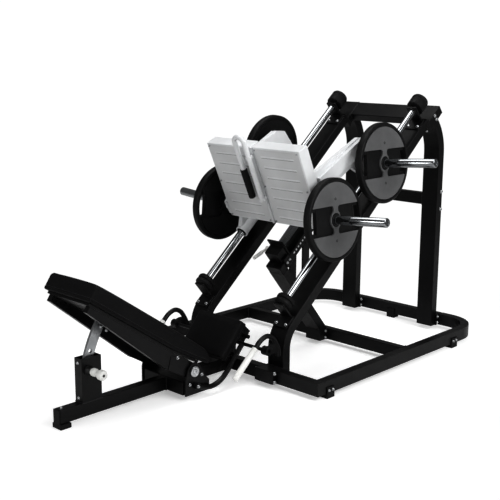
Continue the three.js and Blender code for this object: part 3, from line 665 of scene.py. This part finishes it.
# ---- carriage ----
for side, _ in SIDES:
    refined(f"{side}_carriage_side", 0.0028)
refined("carriage_crossmember", 0.003)
bm = bmesh.new()
add_prism(bm, [(0.0005, -0.0028), (PANEL_H - 0.0045, -0.0028), (PANEL_H - 0.0045, 0.0595),
               (DEEP_FROM, 0.0595), (DEEP_FROM - 0.01, 0.0255), (0.0005, 0.0255)],
          -0.0054, 0.0054, on_panel)
for mid in (0.175, PANEL_H - 0.05):
    add_prism(bm, [(mid - 0.008, HANDLE_D + 0.015), (mid + 0.008, HANDLE_D + 0.015),
                   (mid + 0.008, -0.002), (mid - 0.008, -0.002)], -0.007, 0.007, on_panel)
    add_lathe(bm, on_panel(0, mid - 0.009, HANDLE_D), PANEL_UP,
              [(0, 0.0145), (0, 0.016), (0.0014, 0.0174), (0.0166, 0.0174), (0.018, 0.016),
               (0.018, 0.0145)], 32)
add_lathe(bm, on_panel(0, 0.1651, HANDLE_D), PANEL_UP,
          [(0, 0), (0, 0.0165), (0.002, 0.0172), (0.003, 0.0172), (0.003, 0)], 32)
ridge = {0.168: 0.001, 0.16: 0.0042, 0.12: 0.0055, 0.08: 0.0066, 0.04: 0.0076,
         0.004: 0.0082, 0.0012: 0.007}
add_sweep(bm, [on_panel(0, t, -0.002) for t in ridge], list(ridge.values()), 16)
finished("platform_spine_body", bm, "carriage", "white_paint", ("platform_spine",), 32)
seal = [(-0.0005, 0.0208), (-0.0005, 0.031), (0.0016, 0.031), (0.003, 0.0296),
        (0.003, 0.0225), (0.0018, 0.0208)]
rim = [(-0.01, 0.0355), (-0.0085, 0.0382), (0.0028, 0.0386), (0.0042, 0.0372),
       (0.0042, 0.0326), (0.003, 0.0314), (-0.002, 0.0314), (-0.002, 0.035)]
for side, s in SIDES:
    for tag, ends in (("low", (0.755, 0.905)), ("high", (1.25, 1.4))):
        for end, u, d in zip(("front", "rear"), ends, (-1, 1)):
            at = on_slope(s * ROD_X, u, ROD_V)
            lathe(f"{side}_{tag}_seal_{end}", at, ALONG_SLOPE * d, seal, "carriage", "rubber",
                  n=40)
            lathe(f"{side}_{tag}_rim_{end}", at, ALONG_SLOPE * d, rim, "carriage", "white_paint")


def foot_panel(side, s):
    """Half of the platform: a folded tray, a face with pressed ribs, a rivet in each corner."""
    x0, x1 = 0.006, PANEL_X
    mid_x, mid_s = (x0 + x1) / 2, PANEL_H / 2
    bm = bmesh.new()
    add_prism(bm, [(0, 0), (PANEL_H, 0), (PANEL_H, PANEL_DEEP), (DEEP_FROM + 0.006, PANEL_DEEP),
                   (DEEP_FROM - 0.01, PANEL_THIN), (0, PANEL_THIN)],
              *sorted((s * x0, s * x1)), on_panel)
    tray = bevelled(f"{side}_panel_mesh", from_bmesh(f"{side}_panel_m", bm), 0.0045, 3)
    place(f"{side}_panel_tray", tray, "carriage", "white_paint", (f"{side}_foot_panel",))

    bm = bmesh.new()
    edge = rounded_rect((x1 - x0 - 0.016) / 2, (PANEL_H - 0.018) / 2, 0.004, 3)
    join_rings(bm, [[bm.verts.new(on_panel(s * (mid_x + p * kx), mid_s + q * ks, d))
                     for p, q in edge] for kx, ks, d in ((1, 1, 0.0005), (0.996, 0.997, -0.0016))])
    # the platform face is the white paint darkened, as painted shade
    finished(f"{side}_panel_face", bm, "carriage", "panel_paint", angle=30)

    # each rib is a rounded ridge that sinks at both ends, over a thin dark strip of painted shadow
    # in its crease
    bm, crease = bmesh.new(), bmesh.new()
    rib_count, half_rib = 7, 0.118
    steps = [-1, -0.985, -0.95, -0.5, 0, 0.5, 0.95, 0.985, 1]
    height = [0.0003, 0.003, 0.0046, 0.0052, 0.0052, 0.0052, 0.0046, 0.003, 0.0003]
    section = ((-0.0036, 0.0), (-0.003, 0.55), (-0.0018, 0.92), (0.0002, 1.0), (0.003, 0.72),
               (0.0056, 0.25), (0.0072, 0.0))
    for i in range(rib_count):
        at = 0.048 + i * (PANEL_H - 0.102) / (rib_count - 1)
        join_rings(bm, [[bm.verts.new(on_panel(s * (mid_x + f * half_rib), at + a, -0.0012 - h * k))
                         for a, k in section] for f, h in zip(steps, height)])
        add_prism(crease, [(at - 0.0072, -0.0014), (at - 0.0034, -0.0014),
                           (at - 0.0034, -0.0019), (at - 0.0072, -0.0019)],
                  *sorted(s * (mid_x + k * half_rib * 0.97) for k in (1, -1)), on_panel)
    # the ribs keep the lighter white paint against the darker face, as a painted highlight
    finished(f"{side}_panel_ribs", bm, "carriage", "white_paint", angle=50)
    # the thin dark strips below the ribs are painted shadow
    finished(f"{side}_panel_shadow_strips", crease, "carriage", "crease_dust", angle=30)
    bolts(f"{side}_panel_rivets", "carriage",
          [(on_panel(s * x, t, -0.0012), PANEL_OUT) for x in (x0 + 0.016, x1 - 0.018)
           for t in (0.016, PANEL_H / 2, PANEL_H - 0.016)], 0.004, "bare_steel")


for side, s in SIDES:
    foot_panel(side, s)


# ---- horns and plates ----
def horn_frame(s, level):
    """Where a horn meets the outer face of its plate, the way it points, and up square to it."""
    c, k = math.cos(HORN_TILT), math.sin(HORN_TILT)
    return row(s * PLATE_X, *HORNS[level]), Vector((s * c, 0, k)), Vector((-s * k, 0, c))


def plate(side, s, level):
    """One weight plate: disc, half moons and hub web, slot beads, pips, bush and hub ring."""
    centre, out, up = horn_frame(s, level)
    body = f"{side}_{level}_weight"
    node = f"{side}_{level}_plate"
    thick, radius, dip = PLATE_T, PLATE_R, 0.011
    insert = "plate_insert" if s > 0 else "plate_rubber"

    def at(t, a, b):
        return centre + out * t + Vector((0, a, 0)) + up * b

    # rim, recessed faces and hub, the same on both sides, round the bore
    face = [(0, 0.0262), (0, 0.0362), (0.0012, 0.0368), (dip, 0.0375), (dip, 0.203),
            (0.0012, 0.2052), (0, 0.207), (0, radius - 0.0075), (0.0014, radius - 0.004),
            (0.004, radius - 0.0014), (0.0075, radius)]
    bm = bmesh.new()
    add_lathe(bm, centre, out, [(d - thick, r) for d, r in face] + [(-d, r) for d, r in face[::-1]]
              + [(-0.0015, 0.025), (0.0015 - thick, 0.025)], 112)
    disc = from_bmesh(node + "_m", bm, 40)
    # two finger slots, bounded outside by an arc
    slot_r, half_slot = 0.2005, 0.059
    bm = bmesh.new()
    for k in (-1, 1):
        reach = math.asin(half_slot / slot_r)
        hole = [(k * slot_r * math.cos(f * reach), slot_r * math.sin(f * reach))
                for f in (-1, -0.66, -0.33, 0, 0.33, 0.66, 1)]
        side_pts = [(0.161, 0.0595), (0.157, 0.058), (0.1555, 0.054)]
        hole += [(k * a, b) for a, b in side_pts] + [(k * a, -b) for a, b in side_pts[::-1]]
        add_prism(bm, hole, -thick - 0.01, 0.01, at)
    cutter = bpy.data.objects.new(node + "_cut", from_bmesh(node + "_c", bm))
    scene.collection.objects.link(cutter)
    disc = applied(node + "_mesh", disc,
                   ("BOOLEAN", dict(operation="DIFFERENCE", object=cutter, solver="EXACT")))
    bpy.data.objects.remove(cutter)
    disc.shade_smooth()
    disc.set_sharp_from_angle(angle=math.radians(40))
    place(f"{node}_disc", disc, body, "plate_rubber", (node,))

    # raised half moons with a waisted web to the hub, on both faces
    moon_r, flat, web = 0.202, 0.077, 0.0195
    a0 = math.asin(flat / moon_r)
    arc = [a0 + (math.pi - 2 * a0) * i / 40 for i in range(41)]
    left = [(-0.04, flat), (-0.031, flat - 0.0006), (-0.025, flat - 0.003),
            (-0.0212, flat - 0.0075), (-web, flat - 0.013), (-web, 0.052), (-0.0215, 0.045),
            (-0.027, 0.0385), (-0.0335, 0.0335)]
    hub = [(0.0405 * math.sin(a), 0.0405 * math.cos(a))
           for a in (-0.86, -0.7, -0.45, -0.22, 0, 0.22, 0.45, 0.7, 0.86)]
    moon = [(moon_r * math.cos(a), moon_r * math.sin(a)) for a in arc]
    moon += left + hub + [(-p, q) for p, q in left[::-1]]
    for face, t0, t1 in (("outer", -dip - 0.0004, -0.0007),
                         ("inner", 0.0007 - thick, dip + 0.0004 - thick)):
        bm = bmesh.new()
        for sign in (1, -1):
            add_prism(bm, [(p, sign * q) for p, q in moon], t0, t1, at)
        mesh = bevelled(f"{node}_{face}_m", from_bmesh(f"{node}_{face}_n", bm, 30), 0.0011, 2, 30)
        place(f"{node}_{face}_moons", mesh, body, insert if face == "outer" else "plate_rubber")

    # a bead beside each slot on both faces, and a pip on each half moon
    lips, pips = bmesh.new(), bmesh.new()
    for t in (-dip, dip - thick):
        for k in (-1, 1):
            edge = [at(t, k * 0.1525, b) for b in (-0.074, -0.07, 0, 0.07, 0.074)]
            add_sweep(lips, edge, [0.0006, 0.002, 0.002, 0.002, 0.0006], 8)
    finished(f"{node}_lips", lips, body, "plate_rubber", angle=60)
    for k in (-1, 1):
        add_lathe(pips, at(-0.001, 0, k * 0.112), out,
                  [(0, 0), (0, 0.0074), (0.001, 0.0064), (0.001, 0.0044), (0.0002, 0.0036),
                   (0.0002, 0)], 20)
        add_lathe(pips, at(0.001 - thick, 0, k * 0.112), -out,
                  [(0, 0), (0, 0.0062), (0.0008, 0.0056), (0.0008, 0)], 20)
    finished(f"{node}_pips", pips, body, "plate_rubber", angle=40)
    # bush in the hub and the thin ring round it
    lathe(f"{node}_bush", centre, out,
          [(-0.002, 0.0252), (-0.002, 0.03), (0.0002, 0.03), (0.0004, 0.0294),
           (0.0004, 0.0257), (-0.0002, 0.0252)], body, "black_plastic", slot_name="plate_rubber")
    lathe(f"{node}_hub_ring", centre, out,
          [(-dip - 0.0004, 0.0366), (-dip - 0.0004, 0.0436), (-0.0014, 0.0432),
           (-0.0006, 0.0424), (-0.0006, 0.0382), (-0.0014, 0.0374)], body, insert, n=56)


def horn(side, s, level):
    """A storage horn with a moulded end, and the collar between it and the carriage."""
    centre, out, _ = horn_frame(s, level)
    start, end = 0.345 - PLATE_X, HORN_TIP - PLATE_X
    r = 0.0245
    # the horn bar is the chrome darkened, as painted shade
    lathe(f"{side}_{level}_horn_bar", centre, out,
          [(start, 0), (start, r), (0.02, r), (end - 0.004, r), (end - 0.0012, r - 0.0018),
           (end, r - 0.0045), (end, 0.015), (end - 0.003, 0.0138), (end - 0.003, 0.007),
           (end - 0.0012, 0.0062), (end - 0.0012, 0.0028), (end - 0.005, 0.0022),
           (end - 0.005, 0)], "carriage", "horn_chrome", (f"{side}_{level}_horn",), 72)
    a, b = 0.362 - PLATE_X, -PLATE_T - 0.0004
    lathe(f"{side}_{level}_horn_collar", centre, out,
          [(a, r - 0.001), (a, 0.03), (a + 0.001, 0.031), (b - 0.001, 0.031),
           (b, 0.03), (b, r - 0.001)], "carriage", "rubber", n=56)


for side, s in SIDES:
    for level in HORNS:
        horn(side, s, level)
        plate(side, s, level)

# ---- platform handle ----
bm = bmesh.new()
left_x, right_x, tube_r = -0.069, 0.0, 0.014
bend = (right_x - left_x) / 2
top_s = PANEL_H + 0.044 + 0.034 - bend
path = between(on_panel(left_x, 0.19, HANDLE_D), on_panel(left_x, top_s, HANDLE_D), 6)[:-1]
path += [on_panel(left_x + bend - bend * math.cos(a), top_s + bend * math.sin(a), HANDLE_D)
         for a in (math.pi * i / 24 for i in range(25))]
path += between(on_panel(right_x, top_s, HANDLE_D), on_panel(right_x, 0.175, HANDLE_D), 6)[1:]
add_sweep(bm, path, tube_r, 28)
finished("platform_handle_tube", bm, "platform_lever", "white_paint", ("platform_handle",))
grip_len, groove_count = 0.182, 20
grip = [(0, 0), (0, 0.012), (0.003, 0.0175), (0.007, 0.0196)]
for i in range(groove_count):
    t = 0.012 + i * (grip_len - 0.03) / groove_count
    grip += [(t, 0.02), (t + 0.0052, 0.02), (t + 0.0058, 0.0192), (t + 0.0072, 0.0192)]
grip += [(grip_len - 0.01, 0.02), (grip_len - 0.003, 0.0198), (grip_len, 0.018),
         (grip_len, 0)]
lathe("platform_grip", on_panel(left_x, 0.178, HANDLE_D), PANEL_UP, grip, "platform_lever",
      "grip_rubber", ("platform_handle_grip",), 40, 30)

# ---- pivot, pin and release levers ----
bm = bmesh.new()
add_lathe(bm, row(-0.175, *PIVOT), RIGHT,
          [(0, 0), (0, 0.0148), (0.35, 0.0148), (0.35, 0)], 40)
for s in (1, -1):
    add_lathe(bm, row(s * 0.174, *PIVOT), RIGHT * s,
              [(0, 0), (0, 0.0275), (0.001, 0.028), (0.006, 0.028), (0.0085, 0.0262),
               (0.0088, 0.0215), (0.0078, 0.0205), (0.0078, 0.0135), (0.0095, 0.0125),
               (0.0118, 0.0118), (0.012, 0.006), (0.008, 0.005), (0.008, 0)], 48)
finished("pivot_shaft", bm, "frame", "zinc", ("backrest_pivot",), 30, "chrome")

lathe("pin_knob", row(0.058, *PIN_AT), RIGHT,
      [(0, 0), (0, 0.0105), (0, 0.0145), (0.0015, 0.016), (0.01, 0.0195), (0.014, 0.02),
       (0.026, 0.02), (0.03, 0.0188), (0.034, 0.015), (0.037, 0.0132), (0.05, 0.0132),
       (0.054, 0.015), (0.059, 0.0212), (0.062, 0.0235), (0.066, 0.0248), (0.08, 0.025),
       (0.086, 0.024), (0.09, 0.0215), (0.0918, 0.018), (0.092, 0.0085), (0.09, 0.0075),
       (0.089, 0.004), (0.089, 0)], "locking_pin", "ivory_plastic", ("pull_pin",), 56, 30)
lathe("pin_bar", row(0.009, *PIN_AT), RIGHT,
      [(0, 0), (0, 0.0085), (0.003, 0.0105), (0.052, 0.0105), (0.052, 0)],
      "locking_pin", "zinc", n=36)
lathe("pin_screw", row(0.15, *PIN_AT), RIGHT,
      [(-0.004, 0), (-0.004, 0.0062), (-0.0006, 0.0062), (-0.0002, 0.0052), (-0.0002, 0.0022),
       (-0.0018, 0.0014), (-0.0018, 0)], "locking_pin", "black_plastic", n=20)
lathe("pin_guide", row(0.0284, *PIN_AT), RIGHT,
      [(0, 0.0113), (0, 0.0235), (0.001, 0.024), (0.006, 0.024), (0.0075, 0.0225),
       (0.016, 0.0212), (0.0275, 0.017), (0.028, 0.016), (0.028, 0.0118), (0.0275, 0.0113)],
      "frame", "black_plastic", ("pin_housing",))

bm = bmesh.new()
add_lathe(bm, row(-0.37, *SHAFT), RIGHT,
          [(0, 0), (0, 0.0095), (0.74, 0.0095), (0.74, 0)], 28)
lever_line = [(-0.188, 0.216), (-0.145, 0.254), (-0.11, 0.283), (-0.063, 0.297),
              (-0.022, 0.28), (0.006, 0.244), (0.025, 0.206), (0.027, 0.17)]
web_line = [(-0.072, 0.236), (-0.03, 0.247), (0.006, 0.244), (0.025, 0.206), (0.022, 0.19),
            (-0.064, 0.196)]
for s in (1, -1):
    add_sweep(bm, catmull([row(s * LEVER_X, y, z) for y, z in lever_line], 8), 0.013, 24)
    add_lathe(bm, row(s * 0.33, *SHAFT), RIGHT * s,
              [(0, 0), (0, 0.0225), (0.0015, 0.024), (0.0405, 0.024), (0.042, 0.0225),
               (0.042, 0.015), (0.04, 0.014), (0.04, 0)], 40)
    add_prism(bm, web_line, *sorted((s * 0.35, s * 0.36)), row)
finished("release_lever_tubes", bm, "release", "frame_paint", ("release_levers",))
for side, s in SIDES:
    top, end = row(s * LEVER_X, -0.15, 0.25), row(s * LEVER_X, -0.299, 0.119)
    n = (end - top).length
    lathe(f"{side}_release_grip", top, end - top,
          [(0, 0), (0, 0.0148), (0.0008, 0.0166), (0.003, 0.017), (0.006, 0.017),
           (0.008, 0.0163), (0.01, 0.0158), (0.04, 0.016), (n * 0.5, 0.0164),
           (n - 0.014, 0.0162), (n - 0.008, 0.0168), (n - 0.0035, 0.017), (n - 0.001, 0.0158),
           (n, 0.0135), (n, 0)], "release", "ivory_plastic", (f"{side}_lever_grip",), 48, 40)

# ---- seat frame and adjuster ----
refined("seat_frame", 0.002, 2, 38)
refined("adjuster_bar", 0.0012, 2, 38)
bolts("adjuster_bolts", "backrest",
      [(row(0.03, y, z), RIGHT) for y, z in ((-0.87, 0.452), (-0.838, 0.428))], 0.0075)
bolts("backrest_bolts", "backrest", mirrored([(on_back(0.16, 0.665, 0.11), RIGHT)]), 0.006)


# ---- cushions ----
def pressed(mesh, name, pinned, cap):
    """A closed shape swollen by at most cap, as foam under a cover; pinned() points stay."""
    frames, even_out = 14, 12
    me = applied(name + "_voxel", mesh,
                 ("REMESH", dict(mode="VOXEL", voxel_size=0.0055, use_smooth_shade=True)),
                 ("SMOOTH", dict(factor=0.5, iterations=2)))
    start = [v.co.copy() for v in me.vertices]
    o = bpy.data.objects.new(name + "_cloth", me)
    scene.collection.objects.link(o)
    group = o.vertex_groups.new(name="hold")
    group.add([i for i, c in enumerate(start) if pinned(c)], 1.0, "REPLACE")
    cloth = o.modifiers.new("cloth", "CLOTH")
    st = cloth.settings
    st.use_pressure = True
    st.uniform_pressure_force = 2.0
    st.effector_weights.gravity = 0.0
    st.tension_stiffness = st.compression_stiffness = 40
    st.bending_stiffness = 20
    st.quality = 5
    st.vertex_group_mass = "hold"
    cloth.collision_settings.use_collision = False
    cloth.point_cache.frame_start, cloth.point_cache.frame_end = 1, frames
    for f in range(1, frames + 1):
        scene.frame_set(f)
    out = frozen(o)
    scene.frame_set(1)
    # foam evens the swelling out: each move is averaged with its neighbours', then limited
    moves = [v.co - c for v, c in zip(out.vertices, start)]
    beside = [[] for _ in moves]
    for e in out.edges:
        a, b = e.vertices
        beside[a].append(b)
        beside[b].append(a)
    for _ in range(even_out):
        moves = [(m + sum((moves[j] for j in near), Vector())) / (1 + len(near))
                 for m, near in zip(moves, beside)]
    for v, c, m in zip(out.vertices, start, moves):
        v.co = c + (m * (cap / m.length) if m.length > cap else m)
    out.shade_smooth()
    return out


def along(line, s):
    """The value at s of a line given as (s, value) points."""
    for (a, p), (b, q) in zip(line, line[1:]):
        if s <= b:
            return p + (q - p) * max(0.0, (s - a) / (b - a))
    return line[-1][1]


def cushion(name, node, body, at, under, half, crown, toe, corner, cap):
    """A pad on the plane of at(x, s, d): crowned sections from end to end, down to under.

    Its last toe of length drops away; corner is how far its long edges are rounded down.
    """
    bm = bmesh.new()
    steps, across, rings, inset = 48, 12, [], 0.0025
    head, end = under[0][0], under[-1][0]
    for i in range(steps + 1):
        s = head + inset + (end - head - 2 * inset) * i / steps
        thick = along(under, s)
        near = min(s - head - inset, end - inset - s)
        drop = thick * 0.48 * max(0.0, (s - (end - toe)) / toe) ** 2 if toe else 0.0
        lift = crown * (1 - math.exp(-near / 0.06))
        w = half - inset
        ring = []
        for k in range(-across, across + 1):
            f = abs(k) / across
            edge = corner * max(0.0, (f - 0.9) / 0.1) ** 2
            ring.append((w * k / across, 0.0015 + drop + edge - lift * (1 - f ** 2.6)))
        ring += [(w, thick - 0.0005), (-w, thick - 0.0005)]
        rings.append([bm.verts.new(at(x, s, d)) for x, d in ring])
    join_rings(bm, rings)
    bmesh.ops.recalc_face_normals(bm, faces=bm.faces)
    me = bpy.data.meshes.new(name + "_m")
    bm.to_mesh(me)
    bm.free()
    origin = at(0, 0, 0)
    e_s, e_d = at(0, 1, 0) - origin, at(0, 0, 1) - origin

    def local(p):
        r = p - origin
        return r.x, r.dot(e_s), r.dot(e_d)

    def held(p):
        _, s, d = local(p)
        return d > along(under, s) - 0.008

    me = pressed(me, name, held, cap)
    side_limit, top_limit = 0.0035, 0.013
    for v in me.vertices:
        x, s, d = local(v.co)
        s = min(end + side_limit, max(s, head - side_limit))
        d = min(along(under, s) - 0.0003, max(d, -top_limit))
        x = max(-half - side_limit, min(half + side_limit, x))
        v.co = at(x, s, d)
    me = applied(name + "_soft", me, ("SUBSURF", dict(levels=1, render_levels=1)))
    me.shade_smooth()
    o = place(name, me, body, "upholstery", (node,))
    return o


def skin_points(o, samples, offset):
    """Points just off the cushion's own skin, found by looking in from outside it."""
    tree = BVHTree.FromPolygons([v.co.copy() for v in o.data.vertices],
                                [list(p.vertices) for p in o.data.polygons])
    out = []
    for p, direction in samples:
        hit, normal, _, _ = tree.ray_cast(p - direction * 0.08, direction, 0.3)
        if hit is not None:
            out.append(hit + normal * offset)
    return out


def seam(name, o, at, under, half, up, body):
    """Piping round the cushion, up from its underside, with stitches above it."""
    head, end = under[0][0], under[-1][0]
    middle, reach = (head + end) / 2, (end - head) / 2
    line = rounded_rect(half, reach, 0.02, 8)
    samples, lifted = [], []
    for (a, b), (c, d) in zip(line, line[1:] + line[:1]):
        n = max(1, int(math.hypot(c - a, d - b) / 0.006))
        for i in range(n):
            x, t = a + (c - a) * i / n, b + (d - b) * i / n
            inner_x = max(-half + 0.05, min(half - 0.05, x))
            inner_t = max(-reach + 0.05, min(reach - 0.05, t))
            for rise, out in ((up, samples), (up + 0.0075, lifted)):
                depth = along(under, middle + t) - rise
                p = at(x, middle + t, depth)
                out.append((p, (at(inner_x, middle + inner_t, depth) - p).normalized()))
    pts = skin_points(o, samples, 0.0004)
    bm = bmesh.new()
    add_sweep(bm, pts + pts[:1], 0.0021, 8)
    finished(f"{name}_piping", bm, body, "upholstery", angle=60)
    pts = skin_points(o, lifted, 0.0003)
    bm = bmesh.new()
    for a, b in zip(pts, pts[1:]):
        if (b - a).length < 0.02:
            add_sweep(bm, [a.lerp(b, f) for f in (0.12, 0.35, 0.65, 0.88)],
                      [0.0003, 0.0009, 0.0009, 0.0003], 6)
    finished(f"{name}_stitches", bm, body, "thread", angle=60)


back = cushion("backrest_cushion", "backrest_pad", "backrest", on_back, PAD_UNDER, BACK_HALF,
               crown=0.01, toe=0.075, corner=0.007, cap=0.004)
seam("backrest", back, on_back, PAD_UNDER, BACK_HALF, 0.012, "backrest")
seat = cushion("seat_cushion", "seat_pad", "frame", on_seat, SEAT_UNDER, SEAT_HALF,
               crown=0.007, toe=0.0, corner=0.008, cap=0.004)
seam("seat", seat, on_seat, SEAT_UNDER, SEAT_HALF, 0.01, "frame")

# ---- carried-over CAD solids keep their shape and get the same finishes ----
for node_name, o in NODES.items():
    o.data.materials.clear()
    o.data.materials.append(MATS[SLOT_OF[node_name]])

# ---- floor, light, camera ----
def camera_only(tree, fac, plain, seen, output):
    """Show one shader in place of another, by fac."""
    mix = tree.nodes.new("ShaderNodeMixShader")
    for socket, source in zip(mix.inputs, (fac, plain, seen)):
        tree.links.new(source, socket)
    tree.links.new(mix.outputs[0], tree.nodes[output].inputs["Surface"])


FLOOR_GLOW = 0.42
FLOOR_WHITE = 1.02
FADE_FROM, FADE_TO = 0.75, 1.75
f = Nodes("floor")
f.colour(f.mix(f.remap(f.noise(0.8, 3), 0.3, 0.7, 0, 1), (0.9, 0.9, 0.9), (0.93, 0.93, 0.93)))
f.rough(f.remap(f.noise(5, 3), 0.3, 0.7, 0.75, 0.85))
f.sockets(Specular_IOR_Level=0.1, Emission_Color=(1, 1, 1, 1))
reach = f.new("ShaderNodeVectorMath", operation="LENGTH")
f.link(f.scaled(1.25, 0.8, 0), reach.inputs[0])
away = f.remap(reach.outputs["Value"], FADE_FROM, FADE_TO, 0.0, 1.0)
to_camera = f.new("ShaderNodeLightPath").outputs["Is Camera Ray"]
f.link(f.math("MULTIPLY", to_camera, FLOOR_GLOW), f.bsdf.inputs["Emission Strength"])
white = f.new("ShaderNodeEmission")
white.inputs["Strength"].default_value = FLOOR_WHITE
camera_only(f.tree, f.math("MULTIPLY", away, to_camera), f.bsdf.outputs[0], white.outputs[0],
            "Material Output")
bm = bmesh.new()
bm.faces.new([bm.verts.new((x, y, 0)) for x, y in ((-40, -40), (40, -40), (40, 40), (-40, 40))])
me = bpy.data.meshes.new("floor")
bm.to_mesh(me)
bm.free()
me.materials.append(f.mat)
floor = bpy.data.objects.new("floor", me)
scene.collection.objects.link(floor)

WORLD_LIGHT = 0.2
WORLD_SEEN = 1.05
world = bpy.data.worlds.new("studio")
scene.world = world
world.use_nodes = True
wt = world.node_tree
light, seen = wt.nodes["Background"], wt.nodes.new("ShaderNodeBackground")
for node, strength in ((light, WORLD_LIGHT), (seen, WORLD_SEEN)):
    node.inputs["Strength"].default_value = strength
    node.inputs["Color"].default_value = (1, 1, 1, 1)
rays = wt.nodes.new("ShaderNodeLightPath")
camera_only(wt, rays.outputs["Is Camera Ray"], light.outputs[0], seen.outputs[0], "World Output")


def area(name, at, look, size_x, size_y, power):
    light = bpy.data.lights.new(name, "AREA")
    light.shape = "RECTANGLE"
    light.size, light.size_y = size_x, size_y
    light.energy = power
    o = bpy.data.objects.new(name, light)
    scene.collection.objects.link(o)
    o.location = at
    o.rotation_euler = (Vector(look) - Vector(at)).to_track_quat("-Z", "Y").to_euler()


# name, where, looking at, width, height, watts
area("key", (4.6, 0.2, 3.4), (0, 0, 0.7), 3.6, 3.2, 215)
area("top", (-0.5, 0.2, 5.0), (0, 0, 0), 3.2, 3.2, 125)
area("front_fill", (-0.6, -5.6, 2.1), (0, -0.2, 1.0), 1.8, 1.2, 78)

CAMERA_AT = Vector((3.4908, -3.7017, 1.7361))
AZIMUTH, ELEVATION, ROLL = math.radians(43.76), math.radians(12.02), math.radians(0.33)
camera = bpy.data.cameras.new("camera")
camera.sensor_width = 36
camera.lens = 67.41
camera.clip_end = 200
camera_object = bpy.data.objects.new("camera", camera)
scene.collection.objects.link(camera_object)
flat = math.cos(ELEVATION)
back_dir = Vector((math.sin(AZIMUTH) * flat, -math.cos(AZIMUTH) * flat, math.sin(ELEVATION)))
right = (-back_dir).cross(Vector((0, 0, 1))).normalized()
up = right.cross(-back_dir)
rolled_right = right * math.cos(ROLL) + up * math.sin(ROLL)
rolled_up = -right * math.sin(ROLL) + up * math.cos(ROLL)
turn = Matrix((rolled_right, rolled_up, back_dir)).transposed().to_4x4()
camera_object.matrix_world = Matrix.Translation(CAMERA_AT) @ turn
scene.camera = camera_object
scene.view_settings.view_transform = "Standard"
scene.view_settings.gamma = 0.8
